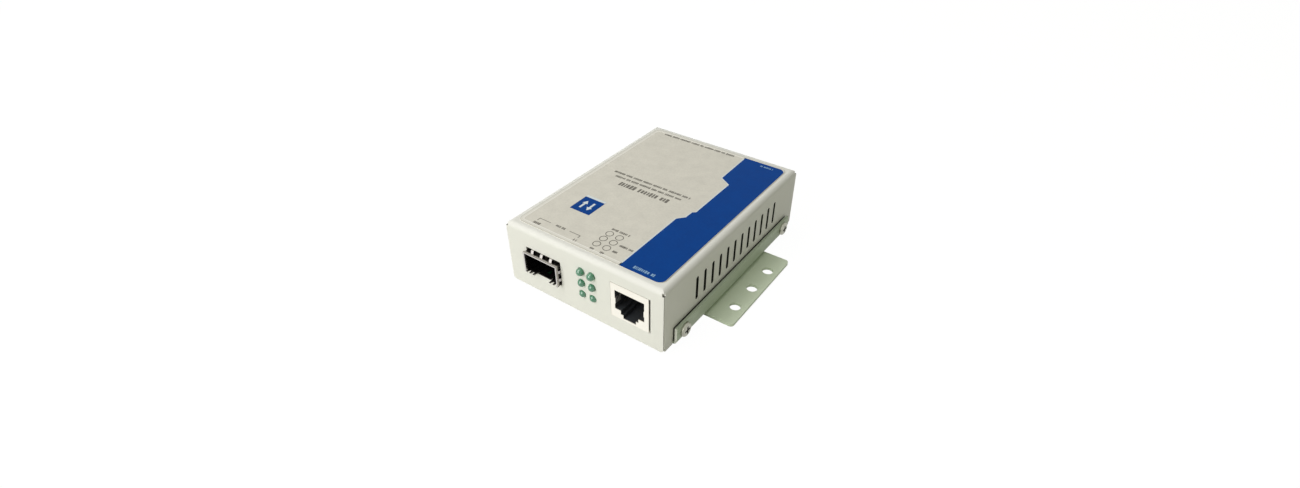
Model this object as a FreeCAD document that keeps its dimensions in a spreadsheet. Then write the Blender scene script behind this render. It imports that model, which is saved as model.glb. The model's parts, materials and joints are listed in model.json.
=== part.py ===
"""Fibre media converter: a folded steel case with an SFP slot, six indicator lamps and an RJ45 socket.

Millimetres. X runs to the right of the front panel, Y from the front to the back and Z up. The
origin is the centre of the wall-mount hole pattern on the underside of the mounting plate.
"""

import FreeCAD, Part
import math
import os
import Sketcher

doc = FreeCAD.newDocument("media_converter")

# ---------------------------------------------------------------------------------------------
# Driving dimensions
# ---------------------------------------------------------------------------------------------

SIZES = {
    # case: the cover's outside, without the tray's flanges
    "case_width": 70.0,
    "case_depth": 95.4,
    "case_height": 26.4,
    "cover_sheet": 1.0,
    "cover_bend": 2.0,  # outer radius of the folds round the top
    "corner_gap": 0.12,  # mitred joint between the front or back and a side
    "relief_radius": 0.6,
    "relief_drop": 0.7,  # of a corner relief's upper end below the top
    "relief_height": 1.0,
    "relief_inset": 0.4,  # of its axis from the two outer faces
    "panel_corner": 1.5,  # at the lower ends of the front and back
    # ventilation slots in both sides
    "vent_count": 12,
    "vent_pitch": 5.19,
    "vent_width": 1.6,
    "vent_bottom": 10.2,  # above the case's underside, as all heights in the case
    "vent_top": 20.1,
    "vent_shift": 0.97,  # of the row's middle behind the middle of the case
    # base tray
    "base_sheet": 1.0,
    "base_bend": 2.0,
    "flange_height": 7.3,
    "flange_inset": 5.8,  # of a flange's ends from the front and from the back of the case
    "flange_gap": 0.55,  # from the cover's side to the flange
    "tray_play": 0.3,  # between the tray's floor and the cover's walls
    # mounting plate under the tray, whose ends are the wall-mount ears
    "plate_sheet": 1.2,
    "plate_front": 22.2,  # from the middle of the hole pattern
    "plate_rear": 23.3,
    "plate_corner": 1.5,
    "ear_reach": 12.0,  # beyond the side of the case
    "ear_hole": 4.3,
    "ear_hole_reach": 7.85,
    "ear_hole_pitch": 12.8,
    # screws
    "thread": 3.0,
    "head_width": 5.5,
    "head_height": 1.2,
    "head_crown": 0.75,
    "recess_width": 3.2,
    "recess_slot": 0.8,
    "recess_depth": 0.8,
    "clearance_hole": 3.4,
    "case_screw_length": 4.0,
    "case_screw_inset": 10.7,  # from the front and from the back of the case
    "case_screw_rise": 4.0,
    "collar_width": 4.6,
    "collar_depth": 1.2,
    "land_width": 5.4,
    # label
    "label_side": 2.9,  # from the sides of the case
    "label_end": 3.2,  # from its front and back
    "label_sheet": 0.2,
    "label_corner": 2.6,
    # circuit board
    "board_sheet": 1.6,
    "board_side_gap": 2.5,
    "board_end_gap": 0.8,
    "standoff_height": 3.6,
    "standoff_width": 5.5,
    "standoff_spigot": 4.2,
    "board_screw_head": 5.0,
    "board_screw_head_height": 1.6,
    "board_screw_length": 5.0,
    "board_hole_inset": 6.3,  # from the sides of the case
    "front_hole_inset": 23.7,  # from the front of the case
    "rear_hole_inset": 9.7,  # from its back
    # SFP cage
    "sfp_inset": 17.25,  # of the cage's middle from the left side of the case
    "sfp_floor": 8.4,
    "cage_width": 15.6,
    "cage_height": 9.0,
    "cage_length": 48.0,
    "cage_sheet": 0.3,
    "cage_reach": 2.0,  # in front of the panel
    "cage_legs": 4,
    "cage_leg_width": 1.6,
    "cage_leg_pitch": 11.0,
    "latch_width": 5.8,
    "latch_length": 7.0,
    "latch_slot": 0.7,
    "latch_window": 2.6,
    "notch_width": 7.2,  # in the front edge of the cage's floor
    "notch_depth": 1.7,
    "tooth_width": 0.9,  # of two strips on each side of the notch
    "tooth_slot": 0.8,
    "tooth_depth": 1.4,
    "cutout_left": 0.25,  # open margins of the panel's cut-out round the cage
    "cutout_right": 0.55,
    "cutout_top": 1.3,
    "cutout_bottom": 0.3,
    "finger_sheet": 0.2,
    "finger_width": 1.2,
    "finger_count": 3,  # on the cage's top
    "finger_pitch": 4.4,
    "finger_side_count": 2,
    "finger_side_pitch": 3.5,
    "finger_rest": 0.5,  # straight part of a finger in front of the panel and behind it
    "finger_tail": 0.65,
    "collar_band": 0.8,
    "sfp_connector_width": 12.4,
    "sfp_connector_depth": 9.2,
    "sfp_connector_height": 6.4,
    "sfp_slot_width": 9.6,
    "sfp_slot_height": 1.4,
    "sfp_slot_depth": 5.5,
    # RJ45 socket
    "jack_inset": 14.0,  # of the socket's middle from the right side of the case
    "jack_width": 15.9,
    "jack_height": 14.65,
    "jack_depth": 18.0,
    "jack_left_gap": 0.1,
    "jack_right_gap": 0.75,
    "jack_top_gap": 0.15,
    "shield_sheet": 0.25,
    "plug_width": 12.3,
    "plug_top": 11.9,  # above the circuit board
    "plug_shoulder": 3.8,
    "latch_step": 2.2,
    "latch_floor": 0.8,
    "latch_step_width": 7.4,
    "latch_floor_width": 5.3,
    "plug_depth": 13.0,
    "ground_spring_height": 2.4,
    "ground_spring_depth": 3.2,
    "ground_spring_bulge": 0.35,
    "ground_spring_drop": 4.7,  # of its middle below the top of the mouth
    "contact_pitch": 1.02,
    "contact_width": 0.45,
    "contact_run": 8.4,  # along the roof, from the back of the cavity
    "contact_tip": 2.6,  # of the free end from the back of the cavity
    "contact_drop": 4.7,
    "contact_count": 8,
    # lamps
    "lamp_right": 2.65,  # of the lamps' middle from the middle of the case
    "lamp_pitch": 4.7,
    "lamp_row_pitch": 5.05,
    "lamp_row_base": 9.2,
    "lamp_width": 3.0,
    "lamp_reach": 1.1,  # of the lower row in front of the panel
    "lamp_reach_step": 0.45,  # more for each row above
    "lamp_length": 5.6,
    "lamp_rim": 3.8,
    "lamp_rim_length": 0.8,
    "lamp_play": 0.1,
    "lead_width": 0.5,
    "lead_pitch": 1.5,
    "holder_side": 2.15,  # from a lamp's axis to the outside of its holder
    "holder_gap": 0.4,
    # power inlet
    "inlet_inset": 15.0,  # of the inlet's axis from the right side of the case
    "inlet_width": 9.0,
    "inlet_depth": 13.2,
    "inlet_height": 10.8,
    "inlet_axis": 6.5,  # above the circuit board
    "inlet_nose": 8.0,
    "inlet_bore": 6.3,
    "inlet_bore_depth": 9.0,
    "inlet_pin": 2.0,
    "inlet_play": 0.2,
    "inlet_leaf_width": 2.2,
    "inlet_leaf_length": 7.2,
    "inlet_leaf_sheet": 0.3,
    # components on the circuit board
    "chip_x": 2.0,  # of the converter chip's middle
    "chip_y": 2.0,
    "chip_width": 14.0,
    "chip_height": 1.4,
    "chip_lead_pitch": 1.0,
    "chip_leads": 12,
    "lead_sheet": 0.2,
    "lead_reach": 1.0,
    "lead_breadth": 0.4,
    "memory_shift": 2.25,  # of its middle from the cage's, to the left
    "memory_gap": 7.7,  # from the back of the cage to its middle
    "memory_width": 4.9,
    "memory_depth": 3.9,
    "memory_height": 1.5,
    "memory_leads": 4,
    "memory_lead_pitch": 1.27,
    "transformer_left": 4.5,  # of the socket's middle
    "transformer_gap": 9.7,  # from the back of the socket to its middle
    "transformer_width": 15.2,
    "transformer_depth": 7.6,
    "transformer_height": 5.4,
    "transformer_leads": 12,
    "transformer_lead_pitch": 1.15,
    "crystal_x": 18.0,
    "crystal_width": 11.2,
    "crystal_depth": 4.7,
    "crystal_height": 3.6,
    "power_inset": 23.7,  # of the inductor and the regulator from the back of the case
    "inductor_x": 8.0,
    "inductor_width": 7.6,
    "inductor_height": 4.2,
    "regulator_left": 6.0,
    "regulator_leads": 2,
    "regulator_lead_pitch": 5.0,
    "regulator_width": 6.6,
    "regulator_depth": 6.1,
    "regulator_height": 2.3,
    "can_inset": 10.7,  # of both capacitors from the back of the case
    "output_can_left": 5.0,
    "input_can_shift": 12.0,  # of its middle from the inlet's axis, to the left
    "input_can": 8.0,
    "input_can_height": 10.2,
    "output_can": 6.3,
    "output_can_height": 7.7,
    "can_bead": 0.5,
    "can_bead_rise": 1.5,
    "passive_shift": 18.0,  # of the first column from the regulator's middle, to the left
    "passive_inset": 29.7,  # of the first row from the back of the case
    "passive_columns": 5,
    "passive_rows": 3,
    "passive_column_pitch": 3.2,
    "passive_row_pitch": 2.6,
    "passive_width": 2.0,
    "passive_depth": 1.25,
    "passive_height": 0.6,
}

sheet = doc.addObject("Spreadsheet::Sheet", "Sizes")
for row, (alias, value) in enumerate(SIZES.items(), start=1):
    sheet.set("A%d" % row, alias)
    sheet.set("B%d" % row, str(value))
    sheet.setAlias("B%d" % row, alias)
doc.recompute()


def size(alias):
    """The value of one driving dimension."""
    return float(sheet.get(alias))


def value(expression):
    """The present value of an expression in the driving dimensions."""
    return float(sheet.evalExpression(expression))


# Places shared by several pieces, as expressions
UNDER = "Sizes.plate_sheet"  # underside of the case
SIDE = "Sizes.case_width / 2"
FRONT = "-Sizes.case_depth / 2"
BACK = "Sizes.case_depth / 2"
TOP = UNDER + " + Sizes.case_height"
RELIEF_TOP = TOP + " - Sizes.relief_drop"
FLANGE = SIDE + " + Sizes.flange_gap + Sizes.base_sheet"
FLANGE_END = "(Sizes.case_depth / 2 - Sizes.flange_inset)"
TRAY_TOP = UNDER + " + Sizes.base_sheet"
BOARD_UNDER = TRAY_TOP + " + Sizes.standoff_height"
BOARD = BOARD_UNDER + " + Sizes.board_sheet"
SCREW_Y = "(Sizes.case_depth / 2 - Sizes.case_screw_inset)"
SCREW_Z = UNDER + " + Sizes.case_screw_rise"
SFP_X = "-(" + SIDE + " - Sizes.sfp_inset)"
SFP_Z = UNDER + " + Sizes.sfp_floor"
CAGE_LEFT = SFP_X + " - Sizes.cage_width / 2"
CAGE_RIGHT = SFP_X + " + Sizes.cage_width / 2"
CAGE_TOP = SFP_Z + " + Sizes.cage_height"
CAGE_FRONT = FRONT + " - Sizes.cage_reach"
CAGE_BACK = CAGE_FRONT + " + Sizes.cage_length"
LAMP_X = "Sizes.lamp_right"
JACK_X = "(" + SIDE + " - Sizes.jack_inset)"
JACK_LEFT = JACK_X + " - Sizes.jack_width / 2"
JACK_RIGHT = JACK_X + " + Sizes.jack_width / 2"
JACK_BACK = FRONT + " + Sizes.jack_depth"
INLET_X = "(" + SIDE + " - Sizes.inlet_inset)"
INLET_Z = BOARD + " + Sizes.inlet_axis"

parts = []

# ---------------------------------------------------------------------------------------------
# Helpers
# ---------------------------------------------------------------------------------------------


def keep(item, label):
    """Name an object as one of the sub-parts that are written out."""
    item.Label = label
    parts.append(item)
    return item


def new_body(label):
    return keep(doc.addObject("PartDesign::Body", label), label)


def new_sketch(body, name, plane, offset="0"):
    """A sketch on one of the body's origin planes, moved along that plane's normal."""
    sketch = body.newObject("Sketcher::SketchObject", name)
    support = [f for f in body.Origin.OriginFeatures if f.Role == plane + "_Plane"][0]
    sketch.AttachmentSupport = [(support, "")]
    sketch.MapMode = "FlatFace"
    sketch.setExpression("AttachmentOffset.Base.z", offset)
    return sketch


def bind(sketch, kind, geometry, point, expression):
    """Hold one coordinate of a point of the sketch at an expression."""
    index = sketch.addConstraint(
        Sketcher.Constraint(kind, -1, 1, geometry, point, value(expression))
    )
    sketch.setExpression("Constraints[%d]" % index, expression)


def add_outline(sketch, corners):
    """A closed outline of straight lines through corners, each a pair of expressions."""
    first = sketch.GeometryCount
    count = len(corners)
    start = [FreeCAD.Vector(value(across), value(up), 0) for across, up in corners]
    for i in range(count):
        sketch.addGeometry(Part.LineSegment(start[i], start[(i + 1) % count]), False)
    for i in range(count):
        following = first + (i + 1) % count
        sketch.addConstraint(Sketcher.Constraint("Coincident", first + i, 2, following, 1))
    for i, (across, up) in enumerate(corners):
        bind(sketch, "DistanceX", first + i, 1, across)
        bind(sketch, "DistanceY", first + i, 1, up)


def add_rectangle(sketch, x0, y0, x1, y1):
    add_outline(sketch, [(x0, y0), (x1, y0), (x1, y1), (x0, y1)])


def add_circle(sketch, x, y, diameter):
    centre = FreeCAD.Vector(value(x), value(y), 0)
    circle = Part.Circle(centre, FreeCAD.Vector(0, 0, 1), value(diameter) / 2)
    index = sketch.addGeometry(circle, False)
    bind(sketch, "DistanceX", index, 3, x)
    bind(sketch, "DistanceY", index, 3, y)
    number = sketch.addConstraint(Sketcher.Constraint("Diameter", index, value(diameter)))
    sketch.setExpression("Constraints[%d]" % number, diameter)


def pad(body, name, sketch, length, reverse=False):
    feature = body.newObject("PartDesign::Pad", name)
    feature.Profile = sketch
    feature.Reversed = reverse
    feature.setExpression("Length", length)
    return feature


def pad_both(body, name, sketch, length):
    """A pad of the given whole length, half on each side of its sketch."""
    feature = pad(body, name, sketch, length)
    feature.Midplane = True
    return feature


def cut(body, name, sketch, length, reverse=False):
    """A pocket; unless reversed it runs against the sketch's normal. It must remove material."""
    before = solid_volume(body)
    feature = body.newObject("PartDesign::Pocket", name)
    feature.Profile = sketch
    feature.Reversed = reverse
    feature.setExpression("Length", length)
    check_cut(body, name, before)
    return feature


def cut_both(body, name, sketch, length):
    """A pocket of the given whole length, half on each side of its sketch."""
    before = solid_volume(body)
    feature = body.newObject("PartDesign::Pocket", name)
    feature.Profile = sketch
    feature.Midplane = True
    feature.setExpression("Length", length)
    check_cut(body, name, before)
    return feature


def solid_volume(body):
    doc.recompute()
    return body.Shape.Volume


def check_cut(body, name, before):
    if not solid_volume(body) < before - 1e-6:
        raise RuntimeError("pocket %s cuts nothing" % name)


def repeat(body, name, feature, direction, count, pitch):
    """Copies of a feature along one axis of the body, evenly spaced."""
    doc.recompute()
    axis = [f for f in body.Origin.OriginFeatures if f.Role == direction + "_Axis"][0]
    pattern = body.newObject("PartDesign::LinearPattern", name)
    pattern.Originals = [feature]
    pattern.Direction = (axis, [""])
    pattern.setExpression("Occurrences", count)
    pattern.setExpression("Length", "%s * (%s - 1)" % (pitch, count))
    body.Tip = pattern
    return pattern


def round_edges(body, name, radius, test):
    """A fillet on the edges of the body's tip whose middle point passes the test."""
    doc.recompute()
    tip = body.Tip
    names = []
    for index, edge in enumerate(tip.Shape.Edges, start=1):
        middle = edge.valueAt((edge.FirstParameter + edge.LastParameter) / 2)
        if test(middle, edge):
            names.append("Edge%d" % index)
    if not names:
        raise RuntimeError("fillet %s finds no edge" % name)
    feature = body.newObject("PartDesign::Fillet", name)
    feature.Base = (tip, names)
    feature.setExpression("Radius", radius)
    return feature


def near(a, b):
    return abs(a - b) < 1e-4


def place(item, x, y, z):
    item.setExpression("Placement.Base.x", x)
    item.setExpression("Placement.Base.y", y)
    item.setExpression("Placement.Base.z", z)
    return item


def block(name, x, y, z, width, depth, height):
    """A box whose corner nearest the front left underside is at x, y, z."""
    item = doc.addObject("Part::Box", name)
    item.setExpression("Length", width)
    item.setExpression("Width", depth)
    item.setExpression("Height", height)
    return place(item, x, y, z)


TURNS = {
    "+Z": FreeCAD.Rotation(),
    "+Y": FreeCAD.Rotation(FreeCAD.Vector(1, 0, 0), -90),
    "-Y": FreeCAD.Rotation(FreeCAD.Vector(1, 0, 0), 90),
    "+X": FreeCAD.Rotation(FreeCAD.Vector(0, 1, 0), 90),
    "-X": FreeCAD.Rotation(FreeCAD.Vector(0, 1, 0), -90),
}


def rod(name, x, y, z, diameter, length, direction):
    """A cylinder that starts at x, y, z and runs along the direction."""
    item = doc.addObject("Part::Cylinder", name)
    item.setExpression("Radius", "(%s) / 2" % diameter)
    item.setExpression("Height", length)
    item.Placement.Rotation = TURNS[direction]
    return place(item, x, y, z)


def fuse(name, items):
    joined = doc.addObject("Part::MultiFuse", name)
    joined.Shapes = items
    joined.Refine = True
    return joined


def subtract(name, base, tools):
    """The base without the tools."""
    result = doc.addObject("Part::Cut", name)
    result.Base = base
    result.Tool = tools[0] if len(tools) == 1 else fuse(name + "_tools", tools)
    return result


# ---------------------------------------------------------------------------------------------
# Case
# ---------------------------------------------------------------------------------------------


def make_top_cover():
    """One sheet folded down on four sides, with open corner joints and the panel's openings."""
    body = new_body("top_cover")
    outer = new_sketch(body, "cover_outline", "XY", UNDER)
    add_rectangle(outer, "-" + SIDE, FRONT, SIDE, BACK)
    pad(body, "cover_block", outer, "Sizes.case_height")
    top = size("plate_sheet") + size("case_height")
    round_edges(body, "outer_bends", "Sizes.cover_bend", lambda p, e: near(p.z, top))
    inner = new_sketch(body, "cover_inside", "XY", UNDER)
    add_rectangle(
        inner,
        "-(" + SIDE + " - Sizes.cover_sheet)",
        FRONT + " + Sizes.cover_sheet",
        SIDE + " - Sizes.cover_sheet",
        BACK + " - Sizes.cover_sheet",
    )
    cut(body, "cover_hollow", inner, "Sizes.case_height - Sizes.cover_sheet", reverse=True)
    ceiling = top - size("cover_sheet")
    round_edges(
        body, "inner_bends", "Sizes.cover_bend - Sizes.cover_sheet", lambda p, e: near(p.z, ceiling)
    )
    cut_corner_joints(body)
    round_panel_corners(body)
    cut_flange_notches(body)
    cut_vents(body)
    cut_front_openings(body)
    cut_rear_opening(body)
    add_screw_collars(body)
    return body


def cut_corner_joints(body):
    """Each upright corner is parted by a mitred gap, up to a round relief just under the folds."""
    joints = new_sketch(body, "corner_joints", "XY", UNDER)
    reliefs = new_sketch(body, "corner_reliefs", "XY", RELIEF_TOP + " - Sizes.relief_height")
    half = "Sizes.corner_gap / 2 * sqrt(0.5)"
    inner = " - Sizes.cover_sheet - Sizes.corner_gap"
    outer = " + Sizes.corner_gap"
    strip = [
        (SIDE + inner + " + " + half, BACK + inner + " - " + half),
        (SIDE + outer + " + " + half, BACK + outer + " - " + half),
        (SIDE + outer + " - " + half, BACK + outer + " + " + half),
        (SIDE + inner + " - " + half, BACK + inner + " + " + half),
    ]
    for side in ("", "-"):
        for end in ("", "-"):
            corners = [("%s(%s)" % (side, across), "%s(%s)" % (end, along)) for across, along in strip]
            add_outline(joints, corners)
            x = "%s(%s - Sizes.relief_inset)" % (side, SIDE)
            y = "%s(%s - Sizes.relief_inset)" % (end, BACK)
            add_circle(reliefs, x, y, "2 * Sizes.relief_radius")
    cut(body, "joints", joints, "%s - Sizes.relief_height - (%s)" % (RELIEF_TOP, UNDER), reverse=True)
    cut(body, "reliefs", reliefs, "Sizes.relief_height", reverse=True)


def round_panel_corners(body):
    """The lower corners of the front and of the back are rounded off."""
    for name, face, reverse in (("front", FRONT, False), ("back", BACK, True)):
        corners = new_sketch(body, name + "_corner_outline", "XZ", "-(%s)" % face)
        add_corner(corners, SIDE, UNDER, -1, "Sizes.panel_corner")
        add_corner(corners, "-" + SIDE, UNDER, 1, "Sizes.panel_corner")
        cut(body, name + "_corners", corners, "Sizes.cover_sheet", reverse=reverse)


def add_corner(sketch, x, z, way, radius):
    """What lies outside a rounded lower corner at x, z; the arc's centre is that way along X."""
    constrain = Sketcher.Constraint
    point = FreeCAD.Vector(value(x), value(z), 0)
    r = value(radius)
    centre = point + FreeCAD.Vector(way * r, r, 0)
    below, beside = point + FreeCAD.Vector(way * r, 0, 0), point + FreeCAD.Vector(0, r, 0)
    first_angle = math.pi if way > 0 else -math.pi / 2
    circle = Part.Circle(centre, FreeCAD.Vector(0, 0, 1), r)
    arc = Part.ArcOfCircle(circle, first_angle, first_angle + math.pi / 2)
    number = sketch.GeometryCount
    sketch.addGeometry([Part.LineSegment(point, below), arc, Part.LineSegment(beside, point)], False)
    low_end, side_end = (2, 1) if way > 0 else (1, 2)
    sketch.addConstraint(constrain("Tangent", number, 2, number + 1, low_end))
    sketch.addConstraint(constrain("Tangent", number + 1, side_end, number + 2, 1))
    sketch.addConstraint(constrain("Coincident", number + 2, 2, number, 1))
    bind(sketch, "DistanceX", number, 1, x)
    bind(sketch, "DistanceY", number, 1, z)
    bind(sketch, "DistanceX", number + 1, 3, "%s + %d * %s" % (x, way, radius))
    bind(sketch, "DistanceY", number + 1, 3, "%s + %s" % (z, radius))


def cut_flange_notches(body):
    """The sides stop above the tray's rounded bend along the flanges."""
    half = "(" + FLANGE_END + " + Sizes.tray_play)"
    notches = new_sketch(body, "flange_notches", "YZ")
    add_rectangle(notches, "-" + half, "0", half, UNDER + " + Sizes.base_bend")
    cut_both(body, "notches", notches, "Sizes.case_width")


def cut_vents(body):
    """A row of upright slots with round ends through both sides."""
    first = "(Sizes.vent_shift - Sizes.vent_pitch * (Sizes.vent_count - 1) / 2)"
    low = UNDER + " + Sizes.vent_bottom"
    high = UNDER + " + Sizes.vent_top"
    slot = new_sketch(body, "vent_outline", "YZ")
    half = "Sizes.vent_width / 2"
    add_slot(slot, first, low, high, half)
    vent = cut_both(body, "vent", slot, "Sizes.case_width")
    before = solid_volume(body)
    repeat(body, "vents", vent, "Y", "Sizes.vent_count", "Sizes.vent_pitch")
    check_cut(body, "vents", before)


def add_slot(sketch, middle, low, high, half):
    """An upright slot with round ends: two half circles joined by two lines."""
    vector = FreeCAD.Vector
    across, radius = value(middle), value(half)
    bottom, top = value(low) + radius, value(high) - radius
    normal = vector(0, 0, 1)
    lower = Part.ArcOfCircle(Part.Circle(vector(across, bottom, 0), normal, radius), math.pi, 2 * math.pi)
    upper = Part.ArcOfCircle(Part.Circle(vector(across, top, 0), normal, radius), 0, math.pi)
    right = Part.LineSegment(vector(across + radius, bottom, 0), vector(across + radius, top, 0))
    left = Part.LineSegment(vector(across - radius, top, 0), vector(across - radius, bottom, 0))
    number = sketch.GeometryCount
    sketch.addGeometry([lower, upper, right, left], False)
    constrain = Sketcher.Constraint
    sketch.addConstraint(constrain("Tangent", number, 2, number + 2, 1))
    sketch.addConstraint(constrain("Tangent", number + 2, 2, number + 1, 1))
    sketch.addConstraint(constrain("Tangent", number + 1, 2, number + 3, 1))
    sketch.addConstraint(constrain("Tangent", number + 3, 2, number, 1))
    bind(sketch, "DistanceX", number, 3, middle)
    bind(sketch, "DistanceX", number + 1, 3, middle)
    bind(sketch, "DistanceY", number, 3, "%s + %s" % (low, half))
    bind(sketch, "DistanceY", number + 1, 3, "%s - %s" % (high, half))
    index = sketch.addConstraint(constrain("Radius", number, radius))
    sketch.setExpression("Constraints[%d]" % index, half)


def cut_front_openings(body):
    """The SFP cut-out, the six lamp holes and the RJ45 cut-out."""
    openings = new_sketch(body, "front_openings", "XZ", "-(%s)" % FRONT)
    add_rectangle(
        openings,
        CAGE_LEFT + " - Sizes.cutout_left",
        SFP_Z + " - Sizes.cutout_bottom",
        CAGE_RIGHT + " + Sizes.cutout_right",
        CAGE_TOP + " + Sizes.cutout_top",
    )
    add_rectangle(
        openings,
        JACK_LEFT + " - Sizes.jack_left_gap",
        BOARD,
        JACK_RIGHT + " + Sizes.jack_right_gap",
        BOARD + " + Sizes.jack_height + Sizes.jack_top_gap",
    )
    for x, z, _, _ in lamp_places():
        add_circle(openings, x, z, "Sizes.lamp_width + 2 * Sizes.lamp_play")
    cut(body, "front_cut", openings, "Sizes.cover_sheet")


def lamp_places():
    """Expressions for the middle of each lamp, with its column and row."""
    places = []
    for row in range(3):
        for column in range(2):
            x = "%s + Sizes.lamp_pitch * %s" % (LAMP_X, column - 0.5)
            z = "%s + Sizes.lamp_row_base + Sizes.lamp_row_pitch * %d" % (UNDER, row)
            places.append((x, z, column, row))
    return places


def cut_rear_opening(body):
    """The round hole of the power inlet."""
    opening = new_sketch(body, "rear_opening", "XZ", "-(%s)" % BACK)
    add_circle(opening, INLET_X, INLET_Z, "Sizes.inlet_nose + 2 * Sizes.inlet_play")
    cut(body, "rear_cut", opening, "Sizes.cover_sheet", reverse=True)


def add_screw_collars(body):
    """Drawn collars inside both sides, threaded for the case screws."""
    for side, sign in (("left", "-"), ("right", "")):
        inside = sign + "(" + SIDE + " - Sizes.cover_sheet)"
        rings = new_sketch(body, side + "_collars", "YZ", inside)
        bores = new_sketch(body, side + "_threads", "YZ", sign + "(" + SIDE + ")")
        for end in ("-", ""):
            add_circle(rings, end + SCREW_Y, SCREW_Z, "Sizes.collar_width")
            add_circle(bores, end + SCREW_Y, SCREW_Z, "Sizes.thread")
        pad(body, side + "_collar_pad", rings, "Sizes.collar_depth", reverse=side == "right")
        length = "Sizes.cover_sheet + Sizes.collar_depth"
        cut(body, side + "_thread_cut", bores, length, reverse=side == "left")


def make_base_tray():
    """A sheet folded up along both sides, with floor tongues reaching to the front and back."""
    body = new_body("base_tray")
    outline = new_sketch(body, "tray_outline", "XZ")
    add_rectangle(outline, "-(" + FLANGE + ")", UNDER, FLANGE, UNDER + " + Sizes.flange_height")
    pad_both(body, "tray_block", outline, "2 * " + FLANGE_END)
    under = size("plate_sheet")
    round_edges(
        body,
        "outer_folds",
        "Sizes.base_bend",
        lambda p, e: near(p.z, under) and near(p.y, 0),
    )
    inside = new_sketch(body, "tray_inside", "XZ")
    wall = SIDE + " + Sizes.flange_gap"
    add_rectangle(inside, "-(" + wall + ")", TRAY_TOP, wall, UNDER + " + Sizes.flange_height")
    cut_both(body, "tray_hollow", inside, "2 * " + FLANGE_END)
    floor = under + size("base_sheet")
    half = size("case_width") / 2 + size("flange_gap")
    round_edges(
        body,
        "inner_folds",
        "Sizes.base_bend - Sizes.base_sheet",
        lambda p, e: near(p.z, floor) and near(abs(p.x), half) and near(p.y, 0),
    )
    tongue = new_sketch(body, "tongue_outline", "XY", UNDER)
    across = SIDE + " - Sizes.cover_sheet - Sizes.tray_play"
    along = BACK + " - Sizes.cover_sheet - Sizes.tray_play"
    add_rectangle(tongue, "-(" + across + ")", "-(" + along + ")", across, along)
    pad(body, "tongues", tongue, "Sizes.base_sheet")
    drill_flanges(body)
    holes = new_sketch(body, "standoff_holes", "XY", UNDER)
    for x, y, _ in board_holes():
        add_circle(holes, x, y, "Sizes.standoff_spigot")
    cut(body, "standoff_cut", holes, "Sizes.base_sheet", reverse=True)
    return body


def drill_flanges(body):
    """Pressed lands that touch the cover, each drilled for a case screw."""
    for side, sign in (("left", "-"), ("right", "")):
        lands = new_sketch(body, side + "_lands", "YZ", sign + "(" + SIDE + ")")
        holes = new_sketch(body, side + "_holes", "YZ", sign + "(" + FLANGE + ")")
        for end in ("-", ""):
            add_circle(lands, end + SCREW_Y, SCREW_Z, "Sizes.land_width")
            add_circle(holes, end + SCREW_Y, SCREW_Z, "Sizes.clearance_hole")
        pad(body, side + "_land_pad", lands, "Sizes.flange_gap", reverse=side == "left")
        length = "Sizes.base_sheet + Sizes.flange_gap"
        cut(body, side + "_hole_cut", holes, length, reverse=side == "left")


def make_mounting_plate():
    """A flat plate under the tray; its drilled ends stand out on both sides as ears."""
    body = new_body("mounting_plate")
    outline = new_sketch(body, "plate_outline", "XY")
    reach = "(" + SIDE + " + Sizes.ear_reach)"
    add_rectangle(outline, "-" + reach, "-Sizes.plate_front", reach, "Sizes.plate_rear")
    pad(body, "plate", outline, "Sizes.plate_sheet")
    round_edges(
        body,
        "plate_corners",
        "Sizes.plate_corner",
        lambda p, e: near(p.z, size("plate_sheet") / 2),
    )
    holes = new_sketch(body, "ear_holes", "XY")
    for sign in ("-", ""):
        for step in (-1, 0, 1):
            x = sign + "(" + SIDE + " + Sizes.ear_hole_reach)"
            add_circle(holes, x, "Sizes.ear_hole_pitch * %d" % step, "Sizes.ear_hole")
    cut(body, "ear_drilling", holes, "Sizes.plate_sheet", reverse=True)
    return body


def make_top_label():
    """A thin printed film on the top of the cover."""
    body = new_body("top_label")
    outline = new_sketch(body, "label_outline", "XY", TOP)
    across = "(" + SIDE + " - Sizes.label_side)"
    along = "(" + BACK + " - Sizes.label_end)"
    add_rectangle(outline, "-" + across, "-" + along, across, along)
    pad(body, "film", outline, "Sizes.label_sheet")
    middle = size("plate_sheet") + size("case_height") + size("label_sheet") / 2
    round_edges(body, "film_corners", "Sizes.label_corner", lambda p, e: near(p.z, middle))
    return body


# ---------------------------------------------------------------------------------------------
# Screws and standoffs
# ---------------------------------------------------------------------------------------------


def make_case_screws():
    """Four pan-head screws with a cross recess, driven through the flanges into the cover."""
    for side, sign in (("left", "-"), ("right", "")):
        for end, end_sign in (("front", "-"), ("rear", "")):
            make_case_screw("case_screw_%s_%s" % (end, side), sign, end_sign + SCREW_Y)


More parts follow.
